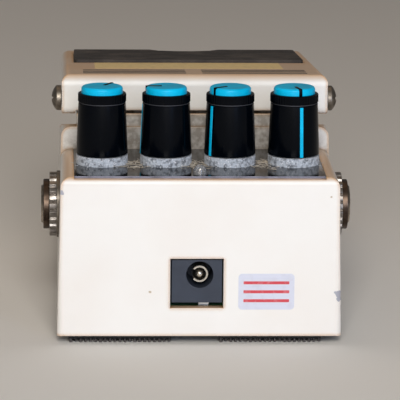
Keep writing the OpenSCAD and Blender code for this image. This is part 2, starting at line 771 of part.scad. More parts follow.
module jack_disc(side, r, offset, t) {
    on_side(side) translate([0, 0, jack_seat_x + offset]) difference() {
        cylinder(r = r, h = t);
        translate([0, 0, -1]) cylinder(r = jack_sleeve_r + seat_gap, h = t + 2);
    }
}
module jack_washer(side) color(steel) jack_disc(side, jack_washer_r, 0, jack_washer_t);
module jack_ring(side) {
    color([0.3, 0.3, 0.3]) difference() {
        jack_disc(side, jack_ring_r, jack_washer_t, jack_ring_t);
        on_side(side) for (k = [0:jack_teeth - 1]) rotate([0, 0, k * 360 / jack_teeth])
            translate([jack_ring_r + 0.2, 0, jack_seat_x + jack_washer_t - 1]) rotate([0, 0, 45])
                translate([-jack_tooth / 2, -jack_tooth / 2, 0])
                    cube([jack_tooth, jack_tooth, jack_ring_t + 2]);
    }
}
module jack_nut(side) {
    color([0.2, 0.2, 0.2]) jack_disc(side, jack_nut_r, jack_washer_t + jack_ring_t, jack_nut_t);
}

// Hinge
module hinge_screws() {
    color([0.35, 0.33, 0.3]) for (s = [-1, 1]) translate([0, at(hinge_d), hinge_z]) rotate([0, s * 90, 0]) {
        difference() {
            translate([0, 0, treadle_w / 2 + head_gap]) rotate_extrude() intersection() {
                translate([0, hinge_head_h - dome_r]) circle(dome_r);
                square([hinge_head_r, hinge_head_h]);
            }
            for (turn = [0, 90]) rotate([0, 0, turn])
                translate([-slot_l / 2, -slot_w / 2, treadle_w / 2 + head_gap + hinge_head_h - slot_h])
                    cube([slot_l, slot_w, 2 * slot_h]);
        }
        translate([0, 0, barrel_l / 2 - hinge_thread_l])
            cylinder(r = hinge_pin_r, h = treadle_w / 2 + 2 * head_gap - barrel_l / 2 + hinge_thread_l);
    }
}
module hinge_bushes() {
    color([0.85, 0.83, 0.75]) for (s = [-1, 1]) translate([0, at(hinge_d), hinge_z]) rotate([0, s * 90, 0])
        translate([0, 0, inner_w / 2]) difference() {
            cylinder(r = bush_r, h = cheek_t);
            translate([0, 0, -1]) cylinder(r = hinge_pin_r + turn_gap, h = cheek_t + 2);
        }
}

// Treadle
module on_top() translate([0, at(treadle_d), treadle_z]) rotate([treadle_slope, 0, 0]) children();
module treadle_side(inset_rear, inset_front, low) {
    rear = treadle_d + inset_rear;
    front = front_face_d - inset_front;
    side_shape([[rear, cheek_line(rear) - low], [rear, treadle_z + 5],
        [front, treadle_z + 5], [front, cheek_line(front) - low]]);
}
module notch_column(r, z0, z1) {
    translate([0, at(thumb_d), z0]) cylinder(r = r, h = z1 - z0);
    box(-r, r, thumb_d, body_d + 2, z0, z1);
}
module treadle_outside() {
    long = body_d + 20;
    r = treadle_side_r;
    intersection() {
        side_prism(treadle_w + 2) treadle_side(0, 0, 0);
        on_top() translate([0, 20, 0]) rotate([90, 0, 0]) linear_extrude(long) difference() {
            translate([-treadle_w / 2, -40]) square([treadle_w, 40]);
            for (s = [0, 1]) mirror([s, 0]) translate([treadle_w / 2 - r, -r]) difference() {
                square([r + 1, r + 1]);
                circle(r);
            }
        }
    }
}
module treadle() {
    color(cream) difference() {
        union() {
            difference() {
                treadle_outside();
                intersection() {
                    side_prism(inner_w) treadle_side(skirt_t, skirt_t + 0.4, 5);
                    on_top() translate([-treadle_w, -2 * body_d, -50 - treadle_t])
                        cube([2 * treadle_w, 3 * body_d, 50]);
                }
                // The rear skirt ends above the side walls, and is hollow round the barrel
                box(-inner_w / 2, inner_w / 2, treadle_d - 1, treadle_d + skirt_t + 1,
                    cheek_rear_z - 5, skirt_z);
                x_rod(skirt_hollow_r, -inner_w / 2, inner_w / 2, hinge_d, hinge_z);
            }
            intersection() {
                treadle_outside();
                union() {
                    notch_column(notch_r + notch_t, notch_floor_z - notch_t, treadle_z);
                    translate([0, at(switch_d), boot_top + gap]) cylinder(r = pusher_r, h = boss_h);
                    translate([0, at(spring_d), spring_top + gap]) cylinder(r = spring_cup_r, h = boss_h);
                }
            }
        }
        // Rounded edges at the rear and the front
        edge_cut(treadle_d, top_line(treadle_d + treadle_rear_r), treadle_rear_r, treadle_w + 2);
        edge_cut(treadle_d, cheek_rear_z, treadle_foot_r, treadle_w + 2, up = -1);
        edge_cut(front_face_d, top_line(front_face_d - treadle_front_r), treadle_front_r, treadle_w + 2,
                 back = -1);
        // Notch and hole for the thumbscrew
        notch_column(notch_r, notch_floor_z, treadle_z + 5);
        translate([0, at(thumb_d), notch_floor_z - 10]) cylinder(r = thumb_shank_r + turn_gap, h = 20);
        translate([0, at(thumb_d), notch_floor_z - notch_t - 5]) cylinder(r = ring_r + 0.6, h = 5);
        // Seat of the rubber pad
        on_top() translate([-pad_w / 2 - turn_gap, -pad_seat_d - pad_l - turn_gap, -pad_sunk])
            cube([pad_w + 2 * turn_gap, pad_l + 2 * turn_gap, 10]);
        // Holes for the hinge bushes
        x_rod(bush_r + seat_gap, -treadle_w, treadle_w, hinge_d, hinge_z);
    }
}
module rubber_pad() {
    ribs = floor(pad_l / (2 * rib)) - 1;
    groove_z = pad_sunk + pad_proud - rib_h;
    color([0.18, 0.16, 0.15]) difference() {
        on_top() translate([0, -pad_seat_d - pad_l / 2, -pad_sunk]) difference() {
            linear_extrude(pad_sunk + pad_proud) round_rect(pad_w, pad_l, pad_corner_r);
            for (k = [0:ribs - 1])
                translate([-pad_w / 2 + pad_edge, pad_l / 2 - (2 * k + 2) * rib, groove_z])
                    cube([pad_w - 2 * pad_edge, groove_w, 1]);
        }
        notch_column(notch_r + 0.8, notch_floor_z, treadle_z + 5);
    }
}

// Thumbscrew, standing in its notch
module thumbscrew() {
    color([0.1, 0.1, 0.1]) translate([0, at(thumb_d), 0]) {
        difference() {
            translate([0, 0, thumb_seat_z]) cylinder(r = thumb_r, h = thumb_h);
            for (k = [0:flutes - 1]) rotate([0, 0, k * 360 / flutes])
                translate([thumb_r + 0.25, 0, thumb_seat_z + 1]) cylinder(r = flute_r, h = thumb_h);
        }
        translate([0, 0, thumb_tip_z + thumb_point])
            cylinder(r = thumb_shank_r, h = thumb_seat_z - thumb_tip_z - thumb_point + eps);
        translate([0, 0, thumb_tip_z])
            cylinder(r1 = thumb_shank_r - thumb_taper, r2 = thumb_shank_r, h = thumb_point + eps);
    }
}
module retaining_ring() {
    color(steel) translate([0, at(thumb_d), ring_z]) difference() {
        cylinder(r = ring_r, h = ring_t);
        translate([0, 0, -1]) cylinder(r = thumb_shank_r + seat_gap, h = ring_t + 2);
    }
}
module guide_bush() {
    color([0.9, 0.9, 0.88]) translate([0, at(thumb_d), guide_z - guide_l]) difference() {
        cylinder(r = guide_r, h = guide_l);
        translate([0, 0, -1]) cylinder(r = guide_bore_r, h = guide_l + 2);
    }
}

// Foot switch and return spring
module foot_switch() {
    color([0.3, 0.3, 0.32]) box(-switch_w / 2, switch_w / 2, switch_rear_d,
        switch_rear_d + switch_l, switch_seat_z, switch_seat_z + switch_h);
}
module switch_boot() {
    crown_h = 1.6;
    color([0.12, 0.12, 0.12]) translate([0, at(switch_d), switch_seat_z + switch_h]) rotate_extrude() {
        square([boot_r, 1.2]);
        square([boot_r - 0.8, boot_h - crown_h]);
        square([boot_r - 0.8 - crown_h, boot_h]);
        intersection() {
            translate([boot_r - 0.8 - crown_h, boot_h - crown_h]) circle(crown_h);
            square([boot_r, boot_h]);
        }
    }
}
// Middle of the spring's wire at a share of its length
function spring_point(t) = [spring_r * cos(t * spring_turns * 360), spring_r * sin(t * spring_turns * 360),
                            spring_low + spring_rise * t];
function ring_point(t, k) =
    let (turn = t * spring_turns * 360, out = [cos(turn), sin(turn), 0], angle = k * 360 / spring_sides)
    spring_point(t) + spring_wire_r * (cos(angle) * out + sin(angle) * [0, 0, 1]);
spring_count = spring_turns * spring_rings;
spring_gap = min([for (i = [0:spring_count], j = [0:spring_count]) if (j - i > spring_rings / 2)
                  norm(spring_point(i / spring_count) - spring_point(j / spring_count))]) - 2 * spring_wire_r;
echo(str("least gap of the return spring to itself: ", spring_gap));
module return_spring() {
    n = spring_sides;
    points = [for (i = [0:spring_count], k = [0:n - 1]) ring_point(i / spring_count, k)];
    walls = [for (i = [0:spring_count - 1], k = [0:n - 1]) let (a = i * n + k, b = i * n + (k + 1) % n)
             each [[a, a + n, b], [b, a + n, b + n]]];
    first = [for (k = [1:n - 2]) [0, k, k + 1]];
    last = [for (k = [1:n - 2]) [spring_count * n, spring_count * n + k + 1, spring_count * n + k]];
    color(steel) translate([0, at(spring_d), 0])
        polyhedron(points, concat(walls, first, last), convexity = 8);
}

chassis();
base_plate();
base_screws();
hook_tape_right();
hook_tape_left();
panel_plate();
main_board();
board_spacers();
board_chips();
dc_socket();
dc_lug();
dc_pin();
dc_contact();
led();
jack_body(1);  // input_jack_body
jack_sleeve(1);  // input_jack_sleeve
jack_washer(1);  // input_jack_washer
jack_ring(1);  // input_jack_ring
jack_nut(1);  // input_jack_nut
jack_body(-1);  // output_jack_body
jack_sleeve(-1);  // output_jack_sleeve
jack_washer(-1);  // output_jack_washer
jack_ring(-1);  // output_jack_ring
jack_nut(-1);  // output_jack_nut
hinge_screws();
guide_bush();
foot_switch();
switch_boot();
return_spring();
pot_washers();
pot_nuts();
knob_felts();
treadle();
rubber_pad();
hinge_bushes();
thumbscrew();
retaining_ring();
for (i = [0:3]) {
    pot(i);
    shaft(i);
    knob(i);
    cap(i);
    pointer(i);
}
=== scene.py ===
"""Looks of a compact delay foot pedal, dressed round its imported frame.

Lengths are millimetres until they reach a mesh, which is in metres. +Y is the rear face with the power
inlet, +X the user's right and z = 0 the table.
"""

from __future__ import annotations

import logging
import math
import random
from dataclasses import dataclass, field
from enum import Enum
from typing import Any, Iterable, Sequence

import bmesh
import bpy
from mathutils import Matrix, Vector, noise


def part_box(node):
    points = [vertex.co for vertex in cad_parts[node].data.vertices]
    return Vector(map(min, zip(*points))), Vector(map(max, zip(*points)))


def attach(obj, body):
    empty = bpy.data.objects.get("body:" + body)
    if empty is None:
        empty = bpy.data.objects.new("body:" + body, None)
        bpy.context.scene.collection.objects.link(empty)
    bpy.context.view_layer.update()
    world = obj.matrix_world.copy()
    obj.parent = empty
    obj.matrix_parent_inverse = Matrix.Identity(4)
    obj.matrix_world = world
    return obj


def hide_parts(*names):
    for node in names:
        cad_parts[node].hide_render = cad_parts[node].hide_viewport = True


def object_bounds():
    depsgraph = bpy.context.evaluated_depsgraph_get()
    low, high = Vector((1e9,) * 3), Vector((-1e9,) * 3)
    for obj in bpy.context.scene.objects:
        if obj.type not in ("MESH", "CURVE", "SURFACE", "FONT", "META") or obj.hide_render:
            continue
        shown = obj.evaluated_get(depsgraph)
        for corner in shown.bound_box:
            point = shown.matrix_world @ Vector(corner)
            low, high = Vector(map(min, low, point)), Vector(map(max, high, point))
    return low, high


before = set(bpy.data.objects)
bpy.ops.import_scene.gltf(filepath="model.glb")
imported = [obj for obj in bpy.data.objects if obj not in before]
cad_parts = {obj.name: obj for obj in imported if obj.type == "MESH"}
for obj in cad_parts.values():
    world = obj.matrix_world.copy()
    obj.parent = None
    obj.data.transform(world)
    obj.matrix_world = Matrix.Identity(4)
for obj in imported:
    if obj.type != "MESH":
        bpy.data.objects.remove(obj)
CAD_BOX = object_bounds()

MM = 0.001
LOG = logging.getLogger("pedal")
Point = tuple[float, float]
Spot = tuple[float, float, float, float]

# Each knob's turn in degrees, clockwise seen from above, from a pointer that faces the rear
KNOBS: dict[str, float] = {"level": -14.6, "feedback": 53.0, "time": 88.0, "mode": -150.0}


class Body(str, Enum):
    """The bodies that pieces ride on."""

    BASE = "base"
    TREADLE = "treadle"
    THUMBSCREW = "thumbscrew"


class Side(int, Enum):
    """The side of the housing, as the sign of X."""

    RIGHT = 1
    LEFT = -1


# Colour and node helpers


def linear(code: str) -> tuple[float, float, float, float]:
    """Turns an sRGB hex colour into linear light.

    Args:
        code: Six hex digits.

    Returns:
        Red, green, blue and an alpha of one.
    """
    parts = [int(code[i : i + 2], 16) / 255 for i in (0, 2, 4)]
    red, green, blue = (v / 12.92 if v <= 0.04045 else ((v + 0.055) / 1.055) ** 2.4 for v in parts)
    return red, green, blue, 1.0


def per_mm(size: float) -> float:
    """Returns the texture scale at which one feature is about this many millimetres wide."""
    return 1 / (size * MM)


def add(tree: bpy.types.NodeTree, kind: str, inputs: dict[Any, Any] | None = None, **settings: Any) -> Any:
    """Adds a node with its settings, values and links.

    Args:
        tree: The node tree that it joins.
        kind: The node's type name.
        inputs: Socket name or number to a value, or to the output socket that feeds it.
        **settings: The node's own properties.

    Returns:
        The new node.
    """
    node = tree.nodes.new(kind)
    for name, value in settings.items():
        setattr(node, name, value)
    for key, value in (inputs or {}).items():
        if isinstance(value, bpy.types.NodeSocket):
            tree.links.new(value, node.inputs[key])
        else:
            node.inputs[key].default_value = value
    return node


# Finishes


@dataclass(frozen=True)
class Finish:
    """A surface finish: its material's name, its main colour and its roughness."""

    name: str
    colour: str
    roughness: float

    def material(self) -> bpy.types.Material:
        """Returns the finish's material, made on its first use."""
        found = bpy.data.materials.get(self.name)
        if found:
            return found
        material = bpy.data.materials.new(self.name)
        material.use_nodes = True
        tree = material.node_tree
        shader = tree.nodes["Principled BSDF"]
        shader.inputs["Base Color"].default_value = linear(self.colour)
        shader.inputs["Roughness"].default_value = self.roughness
        self.dress(tree, shader)
        return material

    def dress(self, tree: bpy.types.NodeTree, shader: Any) -> None:
        """Adds what the finish shows beyond its plain colour.

        Args:
            tree: The material's node tree.
            shader: Its main shader.
        """
        raise NotImplementedError


@dataclass(frozen=True)
class SatinEnamel(Finish):
    """Sprayed cream enamel on a zinc casting: faint orange peel, edges yellowed partly by age and partly by
    painted shade, upward faces tinted tan partly by wear and partly by painted shade, painted shade in
    the recesses and on the cross wall behind the knobs, small chips and specks.

    Sizes are in millimetres. Tints and painted shade are shares of the full colour. The shaded range of
    Y and its width are those of the cross wall behind the knobs.
    """

    yellowing_and_shade: str = "CB9C66"
    chipped: str = "A9A9B2"
    speck: str = "C4B49E"
    # The grime colour is that of the painted shade in the recesses and on the cross wall.
    grime: str = "6B5A44"
    edge: float = 1.5
    edge_yellowing_and_shade: float = 0.6
    tread_wear_and_top_shade: float = 0.72
    cloud: float = 22.0
    cloud_tint: float = 0.1
    peel: float = 0.9
    peel_depth: float = 0.05
    chip: float = 1.3
    corner: float = 12.0
    corner_shade: float = 0.95
    shaded_wall_y: Point = (28.0, 40.0)
    shaded_wall_w: float = 48.0
    wall_shade: float = 0.68
    chips: tuple[Spot, ...] = ()
    specks: tuple[Spot, ...] = ()

    def dress(self, tree: bpy.types.NodeTree, shader: Any) -> None:
        """Yellows the edges and tints the upward faces, both partly painted shade, chips a few edges,
        paints shade into the recesses and onto the cross wall, and gives the coat its peel.
        """
        place = add(tree, "ShaderNodeTexCoord").outputs["Object"]
        round_normal = add(tree, "ShaderNodeBevel", {"Radius": self.edge * MM}, samples=8).outputs[0]
        true_normal = add(tree, "ShaderNodeNewGeometry").outputs["Normal"]
        facing = add(
            tree, "ShaderNodeVectorMath", {0: round_normal, 1: true_normal}, operation="DOT_PRODUCT"
        ).outputs["Value"]
        edge = add(tree, "ShaderNodeMapRange", {0: facing, 1: 1.0, 2: 0.9, 3: 0.0, 4: 1.0}).outputs[0]
        cloud = add(
            tree, "ShaderNodeTexNoise", {"Vector": place, "Scale": per_mm(self.cloud), "Detail": 5.0}
        ).outputs[0]
        aged = add(
            tree, "ShaderNodeMapRange", {0: cloud, 1: 0.42, 2: 0.8, 3: 0.0, 4: self.cloud_tint}
        ).outputs[0]
        # Painted shade, in part: edges are tinted towards the yellow-tan partly as aged paint and partly as
        # the shade of edges that turn away from the light.
        worn = add(tree, "ShaderNodeMath", {0: edge, 1: self.edge_yellowing_and_shade}, operation="MULTIPLY").outputs[0]
        # Painted shade, in part: faces that point up are tinted tan, partly as tread wear and partly as the
        # shade of tops that the light barely reaches.
        upright = add(tree, "ShaderNodeTexCoord").outputs["Normal"]
        parts = add(tree, "ShaderNodeSeparateXYZ", {0: upright}).outputs
        top_wear_and_shade = add(
            tree, "ShaderNodeMapRange", {0: parts[2], 1: 0.45, 2: 0.95, 3: 0.0, 4: self.tread_wear_and_top_shade}
        ).outputs[0]
        cloud_and_top_shade = add(tree, "ShaderNodeMath", {0: top_wear_and_shade, 1: aged}, operation="ADD").outputs[0]
        tint = add(tree, "ShaderNodeMath", {0: worn, 1: cloud_and_top_shade}, operation="ADD", use_clamp=True).outputs[0]
        coat = add(
            tree,
            "ShaderNodeMix",
            {0: tint, 6: linear(self.colour), 7: linear(self.yellowing_and_shade)},
            data_type="RGBA",
        ).outputs[2]
        patch = add(
            tree, "ShaderNodeTexNoise", {"Vector": place, "Scale": per_mm(self.chip), "Detail": 2.0}
        ).outputs[0]
        near = add(tree, "ShaderNodeMath", {0: edge, 1: patch}, operation="MULTIPLY").outputs[0]
        gone = add(tree, "ShaderNodeMapRange", {0: near, 1: 0.66, 2: 0.7, 3: 0.0, 4: 0.7}).outputs[0]
        chipped = add(
            tree, "ShaderNodeMix", {0: gone, 6: coat, 7: linear(self.chipped)}, data_type="RGBA"
        ).outputs[2]
        # Painted shade: recesses are darkened towards the grime colour by ambient occlusion, mottled by the
        # chip noise.
        shelter = add(
            tree, "ShaderNodeAmbientOcclusion", {"Distance": self.corner * MM}, samples=6, only_local=True
        ).outputs["AO"]
        corner_shade_mask = add(
            tree, "ShaderNodeMapRange", {0: shelter, 1: 0.92, 2: 0.45, 3: 0.0, 4: self.corner_shade}
        ).outputs[0]
        blotch = add(tree, "ShaderNodeMapRange", {0: patch, 1: 0.3, 2: 0.6, 3: 0.5, 4: 1.0}).outputs[0]
        # Painted shade: the rear-facing cross wall behind the knobs, where the knobs' shadow falls, is
        # darkened towards the grime colour.
        spot = add(tree, "ShaderNodeSeparateXYZ", {0: place}).outputs
        between = add(
            tree, "ShaderNodeMath", {0: spot[0], 1: 0.0, 2: self.shaded_wall_w / 2 * MM}, operation="COMPARE"
        ).outputs[0]
        middle, half = sum(self.shaded_wall_y) / 2 * MM, (self.shaded_wall_y[1] - self.shaded_wall_y[0]) / 2 * MM
        behind = add(
            tree, "ShaderNodeMath", {0: spot[1], 1: middle, 2: half}, operation="COMPARE"
        ).outputs[0]
        rearward = add(
            tree, "ShaderNodeMapRange", {0: parts[1], 1: 0.6, 2: 0.9, 3: 0.0, 4: self.wall_shade}
        ).outputs[0]
        inward = add(tree, "ShaderNodeMath", {0: behind, 1: between}, operation="MULTIPLY").outputs[0]
        wall = add(tree, "ShaderNodeMath", {0: inward, 1: rearward}, operation="MULTIPLY").outputs[0]
        painted_shade = add(tree, "ShaderNodeMath", {0: corner_shade_mask, 1: wall}, operation="MAXIMUM").outputs[0]
        mottled_shade = add(tree, "ShaderNodeMath", {0: painted_shade, 1: blotch}, operation="MULTIPLY").outputs[0]
        final = add(
            tree, "ShaderNodeMix", {0: mottled_shade, 6: chipped, 7: linear(self.grime)}, data_type="RGBA"
        ).outputs[2]
        for colour, spots in ((self.chipped, self.chips), (self.speck, self.specks)):
            for x, y, z, r in spots:
                away = add(
                    tree,
                    "ShaderNodeVectorMath",
                    {0: place, 1: (x * MM, y * MM, z * MM)},
                    operation="DISTANCE",
                ).outputs["Value"]
                ragged = add(
                    tree, "ShaderNodeMapRange", {0: patch, 1: 0.3, 2: 0.7, 3: 0.4 * r * MM, 4: 1.4 * r * MM}
                ).outputs[0]
                inside = add(tree, "ShaderNodeMath", {0: away, 1: ragged}, operation="LESS_THAN").outputs[0]
                final = add(
                    tree, "ShaderNodeMix", {0: inside, 6: final, 7: linear(colour)}, data_type="RGBA"
                ).outputs[2]
        peel = add(
            tree, "ShaderNodeTexNoise", {"Vector": place, "Scale": per_mm(self.peel), "Detail": 3.0}
        ).outputs[0]
        sheen = add(
            tree,
            "ShaderNodeMapRange",
            {0: cloud, 1: 0.3, 2: 0.7, 3: self.roughness - 0.06, 4: self.roughness + 0.08},
        ).outputs[0]
        bump = add(
            tree, "ShaderNodeBump", {"Height": peel, "Strength": 0.16, "Distance": self.peel_depth * MM}
        ).outputs[0]
        tree.links.new(final, shader.inputs["Base Color"])
        tree.links.new(sheen, shader.inputs["Roughness"])
        tree.links.new(bump, shader.inputs["Normal"])


@dataclass(frozen=True)
class Lacquer(Finish):
    """Gloss black lacquer on sheet: a mirror that smudges and settled dust dull in places."""

    dust: str = "8C8378"
    smudge: float = 9.0
    grit: float = 0.5

    def dress(self, tree: bpy.types.NodeTree, shader: Any) -> None:
        """Adds smudges to the gloss and grains of dust to the colour."""
        place = add(tree, "ShaderNodeTexCoord").outputs["Object"]
        smudge = add(
            tree, "ShaderNodeTexNoise", {"Vector": place, "Scale": per_mm(self.smudge), "Detail": 4.0}
        ).outputs[0]
        grit = add(
            tree, "ShaderNodeTexNoise", {"Vector": place, "Scale": per_mm(self.grit), "Detail": 3.0}
        ).outputs[0]
        grains = add(tree, "ShaderNodeMapRange", {0: grit, 1: 0.6, 2: 0.72, 3: 0.0, 4: 0.5}).outputs[0]
        film = add(tree, "ShaderNodeMapRange", {0: smudge, 1: 0.35, 2: 0.75, 3: 0.04, 4: 0.3}).outputs[0]
        settled = add(tree, "ShaderNodeMath", {0: grains, 1: film}, operation="MULTIPLY").outputs[0]
        colour = add(
            tree,
            "ShaderNodeMix",
            {0: settled, 6: linear(self.colour), 7: linear(self.dust)},
            data_type="RGBA",
        ).outputs[2]
        gloss = add(
            tree,
            "ShaderNodeMapRange",
            {0: smudge, 1: 0.35, 2: 0.8, 3: self.roughness, 4: self.roughness + 0.1},
        ).outputs[0]
        tree.links.new(colour, shader.inputs["Base Color"])
        tree.links.new(gloss, shader.inputs["Roughness"])


@dataclass(frozen=True)
class MouldedPlastic(Finish):
    """Injection-moulded ABS: an even colour with a faint grain and handling marks in its gloss."""

    grain: float = 0.25
    depth: float = 0.012
    mark: float = 5.0
    streak: float = 1.0
    shine: float = 0.5

    def dress(self, tree: bpy.types.NodeTree, shader: Any) -> None:
        """Gives the gloss its marks and the surface its grain."""
        shader.inputs["Specular IOR Level"].default_value = self.shine
        place = add(tree, "ShaderNodeTexCoord").outputs["Object"]
        drawn = add(tree, "ShaderNodeMapping", {"Vector": place, "Scale": (1.0, 1.0, self.streak)}).outputs[0]
        mark = add(
            tree, "ShaderNodeTexNoise", {"Vector": drawn, "Scale": per_mm(self.mark), "Detail": 5.0}
        ).outputs[0]
        grain = add(
            tree, "ShaderNodeTexNoise", {"Vector": drawn, "Scale": per_mm(self.grain), "Detail": 2.0}
        ).outputs[0]
        shade = add(tree, "ShaderNodeMapRange", {0: mark, 1: 0.3, 2: 0.7, 3: 0.86, 4: 1.08}).outputs[0]
        colour = add(
            tree,
            "ShaderNodeVectorMath",
            {0: linear(self.colour)[:3], "Scale": shade},
            operation="SCALE",
        ).outputs[0]
        gloss = add(
            tree,
            "ShaderNodeMapRange",
            {0: mark, 1: 0.3, 2: 0.75, 3: self.roughness - 0.05, 4: self.roughness + 0.12},
        ).outputs[0]
        bump = add(
            tree, "ShaderNodeBump", {"Height": grain, "Strength": 0.3, "Distance": self.depth * MM}
        ).outputs[0]
        tree.links.new(colour, shader.inputs["Base Color"])
        tree.links.new(gloss, shader.inputs["Roughness"])
        tree.links.new(bump, shader.inputs["Normal"])


@dataclass(frozen=True)
class PlatedMetal(Finish):
    """Plated or blackened steel: brushed or turned marks, grime in patches and brighter worn edges."""

    worn: str = "D8D4CC"
    grime: str = "4A443C"
    mark: float = 0.4
    stretch: tuple[float, float, float] = (1.0, 1.0, 0.1)
    patch: float = 2.4
    wear: float = 0.7
    edge: float = 0.3
    depth: float = 0.02

    def dress(self, tree: bpy.types.NodeTree, shader: Any) -> None:
        """Brightens the edges, dulls patches and marks the gloss."""
        shader.inputs["Metallic"].default_value = 1.0
        place = add(tree, "ShaderNodeTexCoord").outputs["Object"]
        along = add(tree, "ShaderNodeMapping", {"Vector": place, "Scale": self.stretch}).outputs[0]
        mark = add(
            tree, "ShaderNodeTexNoise", {"Vector": along, "Scale": per_mm(self.mark), "Detail": 3.0}
        ).outputs[0]
        patch = add(
            tree, "ShaderNodeTexNoise", {"Vector": place, "Scale": per_mm(self.patch), "Detail": 4.0}
        ).outputs[0]
        round_normal = add(tree, "ShaderNodeBevel", {"Radius": self.edge * MM}, samples=6).outputs[0]
        true_normal = add(tree, "ShaderNodeNewGeometry").outputs["Normal"]
        facing = add(
            tree, "ShaderNodeVectorMath", {0: round_normal, 1: true_normal}, operation="DOT_PRODUCT"
        ).outputs["Value"]
        edge = add(tree, "ShaderNodeMapRange", {0: facing, 1: 1.0, 2: 0.9, 3: 0.0, 4: self.wear}).outputs[0]
        dull = add(tree, "ShaderNodeMapRange", {0: patch, 1: 0.45, 2: 0.7, 3: 0.0, 4: 0.7}).outputs[0]
        dirty = add(
            tree,
            "ShaderNodeMix",
            {0: dull, 6: linear(self.colour), 7: linear(self.grime)},
            data_type="RGBA",
        ).outputs[2]
        colour = add(
            tree, "ShaderNodeMix", {0: edge, 6: dirty, 7: linear(self.worn)}, data_type="RGBA"
        ).outputs[2]
        gloss = add(
            tree,
            "ShaderNodeMapRange",
            {0: patch, 1: 0.3, 2: 0.7, 3: self.roughness - 0.08, 4: self.roughness + 0.18},
        ).outputs[0]
        bump = add(
            tree, "ShaderNodeBump", {"Height": mark, "Strength": 0.25, "Distance": self.depth * MM}
        ).outputs[0]
        tree.links.new(colour, shader.inputs["Base Color"])
        tree.links.new(gloss, shader.inputs["Roughness"])
        tree.links.new(bump, shader.inputs["Normal"])


@dataclass(frozen=True)
class Felt(Finish):
    """Pressed felt: pale and dark fibres in a salt-and-pepper mix, with a soft nap.

    The fibres are drawn coarser than real ones, so that they show. A clump is that many fibres wide.
    """

    dark: str = "43464D"
    pale: str = "E4E6EC"
    fibre: float = 0.42
    clump: float = 2.2
    nap: float = 0.12

    def dress(self, tree: bpy.types.NodeTree, shader: Any) -> None:
        """Mixes the fibres and raises the nap."""
        shader.inputs["Sheen Weight"].default_value = 0.25
        shader.inputs["Sheen Roughness"].default_value = 0.6
        place = add(tree, "ShaderNodeTexCoord").outputs["Object"]
        fibre = add(
            tree, "ShaderNodeTexNoise", {"Vector": place, "Scale": per_mm(self.fibre), "Detail": 4.0}
        ).outputs[0]
        clump = add(
            tree,
            "ShaderNodeTexNoise",
            {"Vector": place, "Scale": per_mm(self.clump * self.fibre), "Detail": 2.0},
        ).outputs[0]
        low = add(tree, "ShaderNodeMapRange", {0: clump, 1: 0.36, 2: 0.56, 3: 0.75, 4: 0.0}).outputs[0]
        high = add(tree, "ShaderNodeMapRange", {0: fibre, 1: 0.54, 2: 0.68, 3: 0.0, 4: 1.0}).outputs[0]
        shade = add(
            tree, "ShaderNodeMix", {0: low, 6: linear(self.colour), 7: linear(self.dark)}, data_type="RGBA"
        ).outputs[2]
        colour = add(
            tree, "ShaderNodeMix", {0: high, 6: shade, 7: linear(self.pale)}, data_type="RGBA"
        ).outputs[2]
        bump = add(
            tree, "ShaderNodeBump", {"Height": fibre, "Strength": 0.8, "Distance": self.nap * MM}
        ).outputs[0]
        tree.links.new(colour, shader.inputs["Base Color"])
        tree.links.new(bump, shader.inputs["Normal"])


@dataclass(frozen=True)
class Rubber(Finish):
    """Moulded rubber gone brown-grey with use: dry, grained and dusty in its hollows."""

    dust: str = "6B6159"
    grain: float = 0.35
    depth: float = 0.05
    patch: float = 7.0

    def dress(self, tree: bpy.types.NodeTree, shader: Any) -> None:
        """Adds the bloom of dust and the moulded grain."""
        place = add(tree, "ShaderNodeTexCoord").outputs["Object"]
        grain = add(
            tree, "ShaderNodeTexNoise", {"Vector": place, "Scale": per_mm(self.grain), "Detail": 3.0}
        ).outputs[0]
        patch = add(
            tree, "ShaderNodeTexNoise", {"Vector": place, "Scale": per_mm(self.patch), "Detail": 5.0}
        ).outputs[0]
        bloom = add(tree, "ShaderNodeMapRange", {0: patch, 1: 0.4, 2: 0.75, 3: 0.0, 4: 0.4}).outputs[0]
        colour = add(
            tree, "ShaderNodeMix", {0: bloom, 6: linear(self.colour), 7: linear(self.dust)}, data_type="RGBA"
        ).outputs[2]
        bump = add(
            tree, "ShaderNodeBump", {"Height": grain, "Strength": 0.4, "Distance": self.depth * MM}
        ).outputs[0]
        tree.links.new(colour, shader.inputs["Base Color"])
        tree.links.new(bump, shader.inputs["Normal"])


@dataclass(frozen=True)
class CircuitBoard(Finish):
    """Solder mask on glass cloth: deep green with paler runs where copper lies under it."""

    copper: str = "3E7C4A"
    pitch: float = 2.5
    foil: float = 0.03

    def dress(self, tree: bpy.types.NodeTree, shader: Any) -> None:
        """Draws the runs of copper under the mask."""
        place = add(tree, "ShaderNodeTexCoord").outputs["Object"]
        runs = add(
            tree,
            "ShaderNodeTexBrick",
            {"Vector": place, "Scale": per_mm(self.pitch), "Mortar Size": 0.12, "Mortar Smooth": 0.3},
            offset=0.35,
            squash=2.0,
        ).outputs["Fac"]
        colour = add(
            tree, "ShaderNodeMix", {0: runs, 6: linear(self.colour), 7: linear(self.copper)}, data_type="RGBA"
        ).outputs[2]
        bump = add(
            tree, "ShaderNodeBump", {"Height": runs, "Strength": 0.3, "Distance": self.foil * MM}
        ).outputs[0]
        tree.links.new(colour, shader.inputs["Base Color"])
        tree.links.new(bump, shader.inputs["Normal"])


@dataclass(frozen=True)
class ClearEpoxy(Finish):
    """Cast epoxy of a lamp's lens: clear, with a trace of flow in its surface."""

    flow: float = 0.8
    depth: float = 0.03
    clear: float = 0.8
    index: float = 1.54

    def dress(self, tree: bpy.types.NodeTree, shader: Any) -> None:
        """Makes the lens clear and gives it its flow."""
        shader.inputs["Transmission Weight"].default_value = self.clear
        shader.inputs["IOR"].default_value = self.index
        place = add(tree, "ShaderNodeTexCoord").outputs["Object"]
        flow = add(tree, "ShaderNodeTexNoise", {"Vector": place, "Scale": per_mm(self.flow)}).outputs[0]
        bump = add(
            tree, "ShaderNodeBump", {"Height": flow, "Strength": 0.1, "Distance": self.depth * MM}
        ).outputs[0]
        tree.links.new(bump, shader.inputs["Normal"])


